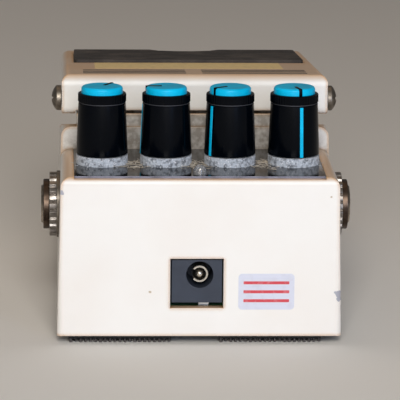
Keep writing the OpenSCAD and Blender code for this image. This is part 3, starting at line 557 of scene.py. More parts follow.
@dataclass(frozen=True)
class Print(Finish):
    """Screen-printed ink or film: an even colour, thinned and scuffed in places."""

    scuffed: str = "8F8578"
    scuff: float = 1.6
    amount: float = 0.5

    def dress(self, tree: bpy.types.NodeTree, shader: Any) -> None:
        """Scuffs the ink."""
        place = add(tree, "ShaderNodeTexCoord").outputs["Object"]
        scuff = add(
            tree, "ShaderNodeTexNoise", {"Vector": place, "Scale": per_mm(self.scuff), "Detail": 5.0}
        ).outputs[0]
        thin = add(
            tree, "ShaderNodeMapRange", {0: scuff, 1: 0.5, 2: 0.72, 3: 0.0, 4: self.amount}
        ).outputs[0]
        colour = add(
            tree,
            "ShaderNodeMix",
            {0: thin, 6: linear(self.colour), 7: linear(self.scuffed)},
            data_type="RGBA",
        ).outputs[2]
        tree.links.new(colour, shader.inputs["Base Color"])


@dataclass(frozen=True)
class Backdrop(Finish):
    """Plain pale paper under the object."""

    tone: float = 60.0

    def dress(self, tree: bpy.types.NodeTree, shader: Any) -> None:
        """Gives the paper a trace of unevenness."""
        place = add(tree, "ShaderNodeTexCoord").outputs["Object"]
        tone = add(tree, "ShaderNodeTexNoise", {"Vector": place, "Scale": per_mm(self.tone)}).outputs[0]
        rough = add(tree, "ShaderNodeMapRange", {0: tone, 3: self.roughness, 4: 1.0}).outputs[0]
        tree.links.new(rough, shader.inputs["Roughness"])


CREAM = SatinEnamel(
    "cream_satin_enamel_on_zinc_casting",
    "F3F0EB",
    0.42,
    chips=((32.2, 64.2, 36.0, 0.7), (-32.5, 64.2, 12.2, 1.0), (-32.6, 63.9, 10.6, 0.8)),
    specks=((11.6, 64.5, 12.5, 0.28), (-30.5, 64.5, 35.2, 0.25)),
)
LACQUER = Lacquer("gloss_black_lacquer_on_sheet", "08080A", 0.04)
CUT_EDGE = PlatedMetal("sheared_aluminium_edge", "7C7C8A", 0.34, worn="B4B4C0", wear=0.3, grime="5C5A60")
KNOB_BLACK = MouldedPlastic("black_moulded_abs_knob", "02050B", 0.16, streak=0.08, mark=3.0, shine=0.09)
CAP_BLUE = MouldedPlastic("bright_blue_moulded_abs_cap", "00C2F2", 0.36, depth=0.006, shine=0.2)
SOCKET_GREY = MouldedPlastic("slate_grey_moulded_nylon", "363C48", 0.5, grain=0.3, depth=0.07, shine=0.35)
CHIP_BLACK = MouldedPlastic("black_moulded_epoxy", "17171A", 0.55)
NYLON = MouldedPlastic("natural_nylon", "DEDBCF", 0.45)
HOOK = MouldedPlastic("grey_nylon_hook", "4E4A49", 0.16)
WEAVE = MouldedPlastic("black_woven_tape_backing", "101012", 0.8, grain=0.6, depth=0.2)
ZINC = PlatedMetal("bright_zinc_on_steel", "C9CACB", 0.34, grime="8D8A84")
NICKEL = PlatedMetal("grimy_nickel_on_brass", "A79C8E", 0.26, grime="3E342A", mark=0.25, wear=0.5)
DARK = PlatedMetal("blackened_steel", "46413B", 0.4, worn="A69E92", grime="24211E", wear=0.55)
BRONZE = PlatedMetal("dull_bronze_on_steel", "857D73", 0.42, worn="B8B0A4", grime="3E362F")
TARNISHED = PlatedMetal("tarnished_nickel_on_brass", "8C8681", 0.32, grime="2E261F", mark=0.25, wear=0.4)
BROWNED = PlatedMetal("browned_steel", "5A4C42", 0.36, worn="8E8276", grime="2A211B", wear=0.4)
BRASS = PlatedMetal("tinned_spring_brass", "D2CABC", 0.28, grime="857A68")
# Grey for the groove under a knob's rim: partly dust and partly a painted highlight of the rim's lower edge.
GROOVE_DUST_AND_HIGHLIGHT = MouldedPlastic("grey_groove_dust_and_painted_highlight", "3C3D42", 0.6)
FIBRE = Felt("pale_dust_fibre", "CFC2AE", 0.9, dark="A08E74", pale="E6DED2")
FELT = Felt("grey_pressed_felt", "BBC2CB", 0.95)
RUBBER = Rubber("brown_grey_moulded_rubber", "2C2725", 0.72)
BOARD = CircuitBoard("green_solder_mask_on_glass_cloth", "1E5230", 0.38)
LENS = ClearEpoxy("clear_cast_epoxy_lens", "F2F4F8", 0.05)
OCHRE_INK = Print("ochre_screen_print", "F6D898", 0.5, amount=0.3)
DARK_INK = Print("charcoal_screen_print", "3A332E", 0.55)
PALE_INK = Print("pale_screen_print", "C9CDD2", 0.5, scuffed="77787C")
RED_INK = Print("red_screen_print", "D4454F", 0.5, scuffed="DFA3A8")
FILM = Print("pale_silver_polyester_film", "D9DCEA", 0.32, scuffed="CAC9D6", amount=0.4)
FLOOR = Backdrop("pale_paper", "E4E1DC", 0.8)


# Mesh helpers

# Millimetres between corners of a CAD copy, and of a turned mesh, that are taken as one
MERGE = 0.002
SEAM = 0.001
# Faces thinner than this many millimetres are taken out of a CAD copy
SLIVER = 0.004
# Degrees within which faces are one flat, and past which an edge of a CAD copy is shaded as an edge
FLAT = 0.6
CREASE = 20.0


def place(
    name: str,
    mesh: bmesh.types.BMesh,
    finishes: Finish | Sequence[Finish],
    body: str,
    slot: str,
    stands_for: Sequence[str] = (),
    sharp: float = 35.0,
) -> bpy.types.Object:
    """Makes a finished piece of a mesh and hands it to its body.

    Args:
        name: The piece's name.
        mesh: Its shape, in metres in the frame, which is freed.
        finishes: Its finish, or one for each material number.
        body: The body that it rides on.
        slot: The record's material slot; not used.
        stands_for: The CAD nodes that it replaces.
        sharp: The angle in degrees above which an edge is shaded as an edge.

    Returns:
        The new object.
    """
    data = bpy.data.meshes.new(name)
    mesh.to_mesh(data)
    mesh.free()
    for finish in [finishes] if isinstance(finishes, Finish) else finishes:
        data.materials.append(finish.material())
    data.shade_smooth()
    data.set_sharp_from_angle(angle=math.radians(sharp))
    piece = bpy.data.objects.new(name, data)
    bpy.context.scene.collection.objects.link(piece)
    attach(piece, body)
    if stands_for:
        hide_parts(*stands_for)
    LOG.info("%s: %d faces on %s", name, len(data.polygons), body)
    return piece


def softened(node: str, radius: float, least: float = 0.0, sharp: float = 30.0) -> bmesh.types.BMesh:
    """Copies a CAD node with its sharp outer edges rounded.

    Args:
        node: The CAD node's name.
        radius: The rounding in millimetres.
        least: The length in millimetres below which an edge is left as it is. Where it is nought, flat
            faces are joined first, which suits small pieces.
        sharp: The least angle in degrees of an edge that is rounded. Edges of thin faces stay sharp.

    Returns:
        The new mesh.
    """
    mesh = bmesh.new()
    mesh.from_mesh(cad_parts[node].data)
    bmesh.ops.remove_doubles(mesh, verts=mesh.verts, dist=MERGE * MM)
    if not least:
        bmesh.ops.dissolve_limit(mesh, angle_limit=math.radians(FLAT), verts=mesh.verts, edges=mesh.edges)
    bmesh.ops.dissolve_degenerate(mesh, edges=mesh.edges, dist=SLIVER * MM)
    outer = [e for e in mesh.edges if e.is_manifold and e.is_convex and e.calc_length() > least * MM]
    wide = [e for e in outer if min(f.calc_area() for f in e.link_faces) > radius / 4 * MM * e.calc_length()]
    edges = [e for e in wide if e.calc_face_angle() > math.radians(sharp)]
    bmesh.ops.bevel(
        mesh,
        geom=edges,
        offset=radius * MM,
        offset_type="OFFSET",
        affect="EDGES",
        segments=3,
        profile=0.5,
        material=-1,
        clamp_overlap=False,
    )
    mesh.normal_update()
    return mesh


def even(piece: bpy.types.Object, stray: float = 15.0) -> None:
    """Shades corners by the areas of their faces, or by one face alone where they stray from it.

    Args:
        piece: The piece.
        stray: The most degrees between a corner's normal and its face's.
    """
    weigh = piece.modifiers.new("even_normals", "WEIGHTED_NORMAL")
    weigh.keep_sharp = True
    shaded = piece.evaluated_get(bpy.context.evaluated_depsgraph_get()).to_mesh()
    corners = [corner.vector.copy() for corner in shaded.corner_normals]
    for face in shaded.polygons:
        for corner in face.loop_indices:
            if corners[corner].dot(face.normal) < math.cos(math.radians(stray)):
                corners[corner] = face.normal.copy()
    piece.modifiers.remove(weigh)
    piece.data.normals_split_custom_set(corners)


def stand_in(
    node: str,
    name: str,
    finishes: Finish | Sequence[Finish],
    body: str,
    slot: str,
    radius: float,
    least: float = 0.0,
    mesh: bmesh.types.BMesh | None = None,
) -> bpy.types.Object:
    """Replaces a CAD node by a copy with its edges rounded.

    Args:
        node: The CAD node's name.
        name: The new piece's name.
        finishes: Its finish, or one for each material number.
        body: The body that it rides on.
        slot: The record's material slot.
        radius: The rounding in millimetres.
        least: The length in millimetres below which an edge is left as it is.
        mesh: The copy, where it is made already.

    Returns:
        The new object.
    """
    piece = place(name, mesh or softened(node, radius, least), finishes, body, slot, [node], CREASE)
    even(piece)
    return piece


def spun(profile: Iterable[Point], steps: int) -> bmesh.types.BMesh:
    """Turns a profile about Z.

    Args:
        profile: Radius and height of each point in millimetres, from one end to the other.
        steps: Faces round the turn.

    Returns:
        The closed mesh.
    """
    mesh = bmesh.new()
    verts = [mesh.verts.new((r * MM, 0, z * MM)) for r, z in profile]
    edges = [mesh.edges.new(pair) for pair in zip(verts, verts[1:])]
    bmesh.ops.spin(
        mesh,
        geom=verts + edges,
        cent=(0, 0, 0),
        axis=(0, 0, 1),
        angle=2 * math.pi,
        steps=steps,
        use_merge=True,
    )
    bmesh.ops.remove_doubles(mesh, verts=mesh.verts, dist=SEAM * MM)
    bmesh.ops.recalc_face_normals(mesh, faces=mesh.faces)
    return mesh


def block(low: Sequence[float], high: Sequence[float], radius: float, segments: int = 2) -> bmesh.types.BMesh:
    """Makes a box with rounded edges.

    Args:
        low: Its lowest corner in millimetres.
        high: Its highest corner in millimetres.
        radius: The rounding of its edges.
        segments: Faces across the rounding.

    Returns:
        The new mesh.
    """
    mesh = bmesh.new()
    size = Vector(high) - Vector(low)
    middle = (Vector(high) + Vector(low)) / 2
    bmesh.ops.create_cube(mesh, size=1)
    bmesh.ops.scale(mesh, vec=size * MM, verts=mesh.verts)
    bmesh.ops.translate(mesh, vec=middle * MM, verts=mesh.verts)
    bmesh.ops.bevel(
        mesh,
        geom=mesh.edges[:],
        offset=radius * MM,
        affect="EDGES",
        segments=segments,
        profile=0.5,
        material=-1,
    )
    return mesh


def joined(parts: Iterable[bmesh.types.BMesh]) -> bmesh.types.BMesh:
    """Puts several meshes into one and frees them.

    Args:
        parts: The meshes.

    Returns:
        One mesh with them all.
    """
    whole = bmesh.new()
    for part in parts:
        scratch = bpy.data.meshes.new("scratch")
        part.to_mesh(scratch)
        part.free()
        whole.from_mesh(scratch)
        bpy.data.meshes.remove(scratch)
    return whole


def turned(mesh: bmesh.types.BMesh, matrix: Matrix) -> bmesh.types.BMesh:
    """Moves a mesh by a matrix, in metres, and returns it."""
    bmesh.ops.transform(mesh, matrix=matrix, verts=mesh.verts)
    return mesh


def box_mm(node: str) -> tuple[Vector, Vector]:
    """Returns a CAD node's lowest and highest corner in millimetres."""
    low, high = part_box(node)
    return low / MM, high / MM


def dress_node(node: str, finish: Finish) -> None:
    """Gives a CAD node that stays in view its finish."""
    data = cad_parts[node].data
    data.materials.clear()
    data.materials.append(finish.material())


# Sub-assemblies


@dataclass
class Housing:
    """The cast chassis, with its base plate and screws."""

    edge: float = 0.25
    least: float = 1.5
    plate_edge: float = 0.12

    def build(self) -> None:
        """Makes the casting and what closes it from below."""
        stand_in("chassis", "housing", CREAM, Body.BASE, "cream_paint", self.edge, self.least)
        stand_in("base_plate", "bottom_plate", DARK, Body.BASE, "zinc_steel", self.plate_edge)
        dress_node("base_screws", ZINC)


@dataclass
class HookTape:
    """A strip of hook tape: a woven backing and rows of nylon hooks that point down.

    Each hook is turned by up to the twist, in radians, and its width and height are drawn from the two
    ranges of shares.
    """

    name: str
    backing: float = 1.0
    backing_edge: float = 0.15
    pitch: float = 1.15
    stem: float = 0.4
    flare: float = 1.2
    neck_z: float = 0.65
    head: float = 0.95
    head_z: float = 0.45
    crown: float = 0.8
    sides: int = 6
    twist: float = 0.5
    widths: Point = (0.75, 1.15)
    heights: Point = (0.6, 1.0)
    seed: int = 5

    def build(self) -> None:
        """Makes the backing and its hooks."""
        low, high = box_mm(f"hook_tape_{self.name}")
        base = block((low.x, low.y, high.z - self.backing), high, self.backing_edge)
        place(f"tape_backing_{self.name}", base, WEAVE, Body.BASE, "hook_tape", [f"hook_tape_{self.name}"])
        place(f"tape_hooks_{self.name}", self.hooks(low, high), HOOK, Body.BASE, "hook_tape", sharp=60)

    def hooks(self, low: Vector, high: Vector) -> bmesh.types.BMesh:
        """Makes the field of hooks.

        Args:
            low: The strip's lowest corner in millimetres.
            high: Its highest corner.

        Returns:
            All hooks in one mesh.
        """
        dice = random.Random(self.seed)
        one = bpy.data.meshes.new("hook")
        shape = self.hook(high.z - self.backing)
        shape.to_mesh(one)
        shape.free()
        field_of = bmesh.new()
        across = int((high.x - low.x - self.head) // self.pitch)
        along = int((high.y - low.y - self.head) // self.pitch)
        step_x = (high.x - low.x - self.head) / across
        step_y = (high.y - low.y - self.head) / along
        for i in range(across + 1):
            for j in range(along + 1):
                start = len(field_of.verts)
                field_of.from_mesh(one)
                field_of.verts.ensure_lookup_table()
                fresh = field_of.verts[start:]
                x = low.x + self.head / 2 + i * step_x
                y = low.y + self.head / 2 + j * step_y
                turn = Matrix.Rotation(dice.uniform(-self.twist, self.twist), 4, "Z")
                short = Matrix.Diagonal((dice.uniform(*self.widths), 1, dice.uniform(*self.heights), 1))
                root = Vector((0, 0, high.z - self.backing)) * MM
                move = Matrix.Translation(Vector((x, y, 0)) * MM + root)
                down = Matrix.Translation(-root)
                bmesh.ops.transform(field_of, matrix=move @ turn @ short @ down, verts=fresh)
        bpy.data.meshes.remove(one)
        return field_of

    def hook(self, root: float) -> bmesh.types.BMesh:
        """Makes one hook: a stem with a flat-topped head.

        Args:
            root: The height at which the stem leaves the backing.

        Returns:
            The hook, standing at the origin.
        """
        profile = [(0, root), (self.stem / 2 * self.flare, root), (self.stem / 2, self.neck_z)]
        profile += [(self.head / 2, self.head_z), (self.head / 2 * self.crown, 0.0), (0, 0.0)]
        return spun(profile, self.sides)


@dataclass
class ControlPanel:
    """The lacquered plate, its scale marks and the lamp."""

    plate_edge: float = 0.05
    top_rise: float = 0.6
    ticks: int = 11
    sweep: float = 300.0
    tick_in: float = 6.55
    tick_out: float = 7.25
    tick_w: float = 0.28
    ink: float = 0.03
    ink_edge: float = 0.01
    lens_steps: int = 32
    cup_rise: float = 0.15
    cup_foot: float = 0.4
    cup_deep: float = 0.5
    cup_floor: float = 0.25
    cup_mouth: float = 0.55
    cup_r: float = 0.65
    cup_steps: int = 20
    post_x: Point = (0.72, 1.02)
    post_w: float = 0.4
    post_low: float = 0.2
    post_edge: float = 0.04

    def build(self) -> None:
        """Makes the plate, the marks and the lamp."""
        self.plate()
        self.marks()
        self.lamp()
        for node in ("pot_washers", "pot_nuts"):
            dress_node(node, ZINC)

    def plate(self) -> None:
        """Makes the plate, lacquered above and bare on its cut edges."""
        mesh = softened("panel_plate", self.plate_edge)
        for face in mesh.faces:
            face.material_index = 0 if face.normal.z > self.top_rise else 1
        finishes = (LACQUER, CUT_EDGE)
        stand_in("panel_plate", "panel", finishes, Body.BASE, "panel_lacquer", self.plate_edge, mesh=mesh)

    def marks(self) -> None:
        """Prints a plain scale of ticks round each knob."""
        top = box_mm("panel_plate")[1].z
        parts = []
        for name in KNOBS:
            low, high = box_mm(f"knob_{name}")
            middle = (low + high) / 2
            for i in range(self.ticks):
                angle = math.radians(-self.sweep / 2 + self.sweep * i / (self.ticks - 1))
                near = (-self.tick_w / 2, self.tick_in, top)
                far = (self.tick_w / 2, self.tick_out, top + self.ink)
                tick = block(near, far, self.ink_edge, 1)
                turn = Matrix.Rotation(math.pi - angle, 4, "Z")
                move = Matrix.Translation(Vector((middle.x, middle.y, 0)) * MM)
                parts.append(turned(tick, move @ turn))
        place("scale_marks", joined(parts), PALE_INK, Body.BASE, "panel_lacquer")

    def lamp(self) -> None:
        """Makes the clear lens with its reflector cup and the two posts inside."""
        low, high = box_mm("led")
        x, y = (low.x + high.x) / 2, (low.y + high.y) / 2
        r = (high.x - low.x) / 2
        dome = high.z - r
        arc = [(r * math.cos(t), dome + r * math.sin(t)) for t in [i * math.pi / 20 for i in range(11)]]
        move = Matrix.Translation(Vector((x, y, 0)) * MM)
        lens = spun([(0, low.z), (r, low.z)] + arc[:-1] + [(0, high.z)], self.lens_steps)
        place("lamp_lens", turned(lens, move), LENS, Body.BASE, "lamp_lens", ["led"])
        rim = dome + self.cup_rise
        foot = low.z + self.cup_foot
        floor = rim - self.cup_deep
        profile = [(0, floor), (self.cup_floor, floor), (self.cup_mouth, rim)]
        profile += [(self.cup_r, rim), (self.cup_r, foot), (0, foot)]
        cup = spun(profile, self.cup_steps)
        half = self.post_w / 2
        near, far = self.post_x
        post = block((near, -half, foot), (far, half, rim - self.post_low), self.post_edge)
        place("lamp_posts", turned(joined([cup, post]), move), NICKEL, Body.BASE, "nickel_sleeve")


@dataclass
class ControlKnob:
    """A control knob: ribbed rim, tapered body, coloured cap with a dark notch, pointer line and shaft."""

    name: str
    turn: float
    foot_r: float = 6.1
    neck_r: float = 5.6
    rim_r: float = 5.7
    rim_h: float = 2.1
    groove: float = 0.22
    bore: float = 2.52
    bore_top: float = 11.35
    skirt_r: float = 3.5
    skirt_h: float = 1.5
    cap_r: float = 4.9
    cap_seat: float = 1.2
    cap_edge: float = 0.1
    slot_in: float = 1.0
    pointer_w: float = 0.8
    pointer_deep: float = 0.6
    proud: float = 0.06
    notch_proud: float = 0.1
    notch_edge: float = 0.15
    fit: float = 0.02
    ribs: int = 52
    rib_depth: float = 0.2
    low: Vector = field(init=False)
    high: Vector = field(init=False)

    def __post_init__(self) -> None:
        """Reads where the CAD knob stands."""
        self.low, self.high = box_mm(f"knob_{self.name}")

    @property
    def body(self) -> str:
        """The body that the knob turns with."""
        return f"{self.name}_knob"

    def stand(self) -> Matrix:
        """Returns the matrix from a knob at the origin, pointer to the rear, to its place."""
        middle = (self.low + self.high) / 2
        spot = Vector((middle.x, middle.y, self.low.z))
        return Matrix.Translation(spot * MM) @ Matrix.Rotation(math.radians(-self.turn), 4, "Z")

    def build(self) -> None:
        """Makes the knob's pieces."""
        name = self.name
        shell = turned(self.shell(), self.stand())
        line = turned(self.line(), self.stand())
        notch = turned(self.notch(), self.stand())
        place(f"knob_body_{name}", shell, (KNOB_BLACK, GROOVE_DUST_AND_HIGHLIGHT), self.body, "knob_black", [f"knob_{name}"])
        stand_in(f"cap_{name}", f"knob_cap_{name}", CAP_BLUE, self.body, "cap_blue", self.cap_edge)
        place(f"knob_line_{name}", line, CAP_BLUE, self.body, "cap_blue", [f"pointer_{name}"])
        place(f"knob_notch_{name}", notch, KNOB_BLACK, self.body, "knob_black")
        dress_node(f"shaft_{name}", ZINC)
        dress_node(f"pot_{name}", CHIP_BLACK)

    def shell(self) -> bmesh.types.BMesh:
        """Makes the black body with fine ribs round its rim."""
        tall = self.high.z - self.low.z
        neck = tall - self.rim_h
        profile = [(0, self.bore_top), (self.bore, self.bore_top), (self.bore, self.skirt_h)]
        profile += [(self.skirt_r, self.skirt_h), (self.skirt_r, 0)]
        profile += [(self.foot_r - 0.2, 0), (self.foot_r - 0.05, 0.06), (self.foot_r, 0.3)]
        groove = self.neck_r - self.groove
        profile += [(self.neck_r, neck - 0.35), (groove, neck - 0.25), (groove, neck - 0.04)]
        profile += [(self.rim_r - 0.12, neck), (self.rim_r, neck + 0.14), (self.rim_r, tall - 0.3)]
        profile += [(self.rim_r - 0.08, tall - 0.1), (self.rim_r - 0.25, tall)]
        seat = tall - self.cap_seat
        profile += [(self.cap_r + 2 * self.fit, tall), (self.cap_r + self.fit, seat), (0, seat)]
        mesh = spun(profile, 2 * self.ribs)
        step = math.pi / self.ribs
        for vert in mesh.verts:
            out = Vector((vert.co.x, vert.co.y))
            at_rim = neck + 0.1 < vert.co.z / MM < tall - 0.2 and out.length / MM > self.rim_r - 0.02
            if at_rim and round(math.atan2(vert.co.y, vert.co.x) / step) % 2:
                vert.co.xy = out * (1 - self.rib_depth / self.rim_r)
        # The groove's faces take the grey second finish: partly dust, partly a painted highlight of the rim's
        # lower edge.
        for face in mesh.faces:
            spot = face.calc_center_median() / MM
            in_groove = neck - 0.28 < spot.z < neck - 0.01 and self.neck_r - 0.3 < spot.xy.length
            face.material_index = int(in_groove)
        return mesh

    def line(self) -> bmesh.types.BMesh:
        """Makes the pointer line down the body's side."""
        tall = self.high.z - self.low.z
        top = tall - self.rim_h - 0.55
        half = self.pointer_w / 2
        mesh = block((-half, -self.pointer_deep, 0), (half, self.proud, top), 0.05, 1)
        for vert in mesh.verts:
            share = vert.co.z / MM / (tall - self.rim_h - 0.35)
            vert.co.y += (self.foot_r + (self.neck_r - self.foot_r) * share) * MM
        return mesh

    def notch(self) -> bmesh.types.BMesh:
        """Makes the dark bar that fills the cap's notch."""
        tall = self.high.z - self.low.z
        cap_top = box_mm(f"cap_{self.name}")[1].z - self.low.z
        half = self.pointer_w / 2 - self.fit
        near = (-half, self.slot_in + self.fit, tall - 0.3)
        far = (half, self.cap_r + 0.03, cap_top + self.notch_proud)
        return block(near, far, self.notch_edge)


@dataclass
class FeltRings:
    """The grey felt rings that the knobs stand over."""

    wall: float = 0.9
    fuzz: float = 0.07
    tuft: float = 0.5
    rows: int = 6
    steps: int = 120

    def build(self) -> None:
        """Makes the four rings with an uneven nap."""
        low, high = box_mm("knob_felts")
        rings = []
        for name in KNOBS:
            foot, top = box_mm(f"knob_{name}")
            middle = (foot + top) / 2
            r = (top.x - foot.x) / 2
            levels = [low.z + (high.z - low.z) * i / self.rows for i in range(self.rows + 1)]
            inner = r - self.wall
            outside = [(r, z) for z in levels]
            ring = spun([(inner, low.z), *outside, (inner, high.z), (inner, low.z)], self.steps)
            for vert in ring.verts:
                spot = vert.co / (self.tuft * MM) + Vector((middle.x, 0, 0))
                shift = noise.noise_vector(spot) * self.fuzz * MM
                shift.z = 0
                vert.co += shift if vert.co.xy.length / MM > r - 0.1 else Vector()
            rings.append(turned(ring, Matrix.Translation(Vector((middle.x, middle.y, 0)) * MM)))
        place("felt_rings", joined(rings), FELT, Body.BASE, "felt", ["knob_felts"], sharp=50)


@dataclass
class Fluff:
    """Fibres of dust that have gathered on the panel between the felt rings."""

    per_gap: int = 34
    spread_x: Point = (-2.2, 2.2)
    spread_y: Point = (-1.0, 6.5)
    thick: float = 0.05
    lift: float = 0.03
    bend: Point = (1.2, 3.2)
    turn: Point = (0.5, 1.6)
    steps: int = 9
    sides: int = 5
    seed: int = 11

    def build(self) -> None:
        """Lays the fibres in the gaps between neighbouring knobs."""
        dice = random.Random(self.seed)
        top = box_mm("panel_plate")[1].z
        middles = [sum(box_mm(f"knob_{name}"), Vector()) / 2 for name in KNOBS]
        fibres = []
        for one, other in zip(middles, middles[1:]):
            for _ in range(self.per_gap):
                away = Vector((dice.uniform(*self.spread_x), dice.uniform(*self.spread_y), 0))
                spot = (one + other) / 2 + away
                spot.z = top + self.thick
                move = Matrix.Translation(spot * MM) @ Matrix.Rotation(dice.uniform(0, 2 * math.pi), 4, "Z")
                fibres.append(turned(self.fibre(dice), move))
        place("fluff", joined(fibres), FIBRE, Body.BASE, "felt", sharp=80)

    def fibre(self, dice: random.Random) -> bmesh.types.BMesh:
        """Makes one bent fibre that lies on z = 0.

        Args:
            dice: Where its bend comes from.

        Returns:
            The fibre.
        """
        bend = dice.uniform(*self.bend)
        mesh = bmesh.new()
        bmesh.ops.create_circle(mesh, cap_ends=True, radius=self.thick * MM, segments=self.sides)
        upright = Matrix.Rotation(math.radians(90), 4, "X")
        bmesh.ops.transform(mesh, matrix=Matrix.Translation((bend * MM, 0, 0)) @ upright, verts=mesh.verts)
        bmesh.ops.spin(
            mesh,
            geom=mesh.faces[:],
            cent=(0, 0, 0),
            axis=(0, 0, 1),
            dvec=(0, 0, self.lift * MM),
            angle=dice.uniform(*self.turn),
            steps=self.steps,
            use_duplicate=False,
        )
        bmesh.ops.recalc_face_normals(mesh, faces=mesh.faces)
        bmesh.ops.translate(mesh, vec=(-bend * MM, 0, 0), verts=mesh.verts)
        return mesh


@dataclass
class PowerInlet:
    """The power socket behind its window, on the main board."""

    edge: float = 0.15

    def build(self) -> None:
        """Makes the socket and dresses what is round it."""
        stand_in("dc_socket", "socket_block", SOCKET_GREY, Body.BASE, "chip_plastic", self.edge)
        for node in ("dc_pin", "dc_contact"):
            dress_node(node, BRASS)
        dress_node("dc_lug", ZINC)
        dress_node("main_board", BOARD)
        dress_node("board_chips", CHIP_BLACK)
        dress_node("board_spacers", NYLON)


@dataclass
class Label:
    """A plain film label on the rear face with three printed rules."""

    x: float = -15.6
    z_low: float = 8.3
    wide: float = 13.1
    tall: float = 8.6
    corner: float = 0.9
    thick: float = 0.05
    rules: int = 3
    rule_h: float = 0.7
    rule_in: float = 1.2
    rule_corner: float = 0.1

    def build(self) -> None:
        """Makes the film and its rules on the rear face."""
        face = box_mm("chassis")[1].y
        film = self.sheet(self.wide, self.tall, self.corner)
        move = Matrix.Translation(Vector((self.x, face, self.z_low + self.tall / 2)) * MM)
        place("label_film", turned(film, move), FILM, Body.BASE, "cream_paint")
        rules = []
        for i in range(self.rules):
            rule = self.sheet(self.wide - 2 * self.rule_in, self.rule_h, self.rule_corner)
            up = self.tall * (0.5 - (i + 1) / (self.rules + 1))
            rules.append(turned(rule, move @ Matrix.Translation(Vector((0, self.thick, up)) * MM)))
        place("label_rules", joined(rules), RED_INK, Body.BASE, "cream_paint")

    def sheet(self, wide: float, tall: float, corner: float) -> bmesh.types.BMesh:
        """Makes a thin upright sheet with round corners, its back on y = 0.

        Args:
            wide: Its width in millimetres.
            tall: Its height.
            corner: The radius of its corners.

        Returns:
            The new mesh.
        """
        mesh = bmesh.new()
        bmesh.ops.create_cube(mesh, size=1)
        bmesh.ops.scale(mesh, vec=Vector((wide, self.thick, tall)) * MM, verts=mesh.verts)
        bmesh.ops.translate(mesh, vec=(0, self.thick / 2 * MM, 0), verts=mesh.verts)
        upright = [e for e in mesh.edges if abs((e.verts[0].co - e.verts[1].co).y) > 0.5 * self.thick * MM]
        bmesh.ops.bevel(
            mesh,
            geom=upright,
            offset=corner * MM,
            affect="EDGES",
            segments=6,
            profile=0.5,
            material=-1,
        )
        return mesh


@dataclass
class Jack:
    """A jack at one side: threaded sleeve, washer, toothed ring and nut outside, its body inside."""

    name: str
    side: Side
    bore: float = 3.25
    sleeve: float = 4.7
    pitch: float = 0.8
    thread: float = 0.22
    lip: float = 0.5
    break_edge: float = 0.3
    washer_edge: float = 0.12
    ring_edge: float = 0.08
    nut_edge: float = 0.25
    steps: int = 48

    def build(self) -> None:
        """Makes the jack's pieces."""
        jack, base = self.name, Body.BASE
        place(f"{jack}_thread", self.threaded(), NICKEL, base, "nickel_sleeve", [f"{jack}_sleeve"])
        stand_in(f"{jack}_washer", f"{jack}_flat_washer", BRONZE, base, "zinc_steel", self.washer_edge)
        stand_in(f"{jack}_ring", f"{jack}_lock_ring", TARNISHED, base, "dark_nut", self.ring_edge)
        stand_in(f"{jack}_nut", f"{jack}_round_nut", BROWNED, base, "dark_nut", self.nut_edge)
        dress_node(f"{jack}_body", CHIP_BLACK)

    def threaded(self) -> bmesh.types.BMesh:
        """Makes the sleeve with rings for its thread, lying along X."""
        low, high = box_mm(f"{self.name}_sleeve")
        near, far = sorted((abs(low.x), abs(high.x)))
        profile = [(self.bore, near), (self.sleeve, near)]
        ridge = far - self.lip - self.pitch * int((far - self.lip - near) / self.pitch)
        while ridge + self.pitch < far - self.lip + 1e-6:
            profile += [(self.sleeve, ridge + 0.15), (self.sleeve - self.thread, ridge + self.pitch / 2)]
            ridge += self.pitch
        chamfer = self.break_edge
        profile += [(self.sleeve, far - self.lip), (self.sleeve - chamfer, far), (self.bore + chamfer, far)]
        profile += [(self.bore, far - chamfer), (self.bore, near)]
        mesh = spun(profile, self.steps)
        y, z = (low.y + high.y) / 2, (low.z + high.z) / 2
        turn = Matrix.Rotation(math.radians(90 * self.side), 4, "Y")
        return turned(mesh, Matrix.Translation(Vector((0, y, z)) * MM) @ turn)


@dataclass
class Treadle:
    """The hinged foot treadle with its pad, printed band, hinge screws and bushes."""

    edge: float = 0.3
    least: float = 1.5
    pad_edge: float = 0.15
    screw_edge: float = 0.15
    band_from: float = 57.5
    band_to: float = 78.0
    band_x: Point = (-22.6, 24.0)
    rule_from: float = 42.0
    rule_l: float = 2.2
    rule_pitch: float = 4.8
    rule_rows: int = 3
    rules: tuple[Point, ...] = ((-27.5, -2.0), (2.0, 27.0))
    ink: float = 0.03
    ink_edge: float = 0.01
    slope: float = 5.7
    rear_r: float = 2.7

    def build(self) -> None:
        """Makes the treadle's pieces."""
        stand_in("treadle", "treadle_casting", CREAM, Body.TREADLE, "cream_paint", self.edge, self.least)
        stand_in("rubber_pad", "foot_pad", RUBBER, Body.TREADLE, "rubber", self.pad_edge)
        stand_in("hinge_screws", "hinge_heads", BRONZE, Body.BASE, "dark_nut", self.screw_edge)
        dress_node("hinge_bushes", NYLON)
        band = self.print_on(self.band_x, self.band_from, self.band_to)
        place("printed_band", band, OCHRE_INK, Body.TREADLE, "cream_paint")
        lines = []
        for ends in self.rules:
            for i in range(self.rule_rows):
                near = self.rule_from + i * self.rule_pitch
                lines.append(self.print_on(ends, near, near + self.rule_l))
        place("printed_rules", joined(lines), DARK_INK, Body.TREADLE, "cream_paint")

    def print_on(self, ends: Point, near: float, far: float) -> bmesh.types.BMesh:
        """Makes a patch of ink on the treadle's sloping top.

        Args:
            ends: Its two ends in X.
            near: Depth of its near edge from the rear face.
            far: Depth of its far edge.

        Returns:
            The thin patch.
        """
        rear = CAD_BOX[1].y / MM
        high = box_mm("treadle")[1]
        rise = math.tan(math.radians(self.slope))
        mesh = block((ends[0], rear - far, 0), (ends[1], rear - near, self.ink), self.ink_edge, 1)
        for vert in mesh.verts:
            depth = high.y - self.rear_r - vert.co.y / MM
            vert.co.z += (high.z - depth * rise) * MM
        return mesh


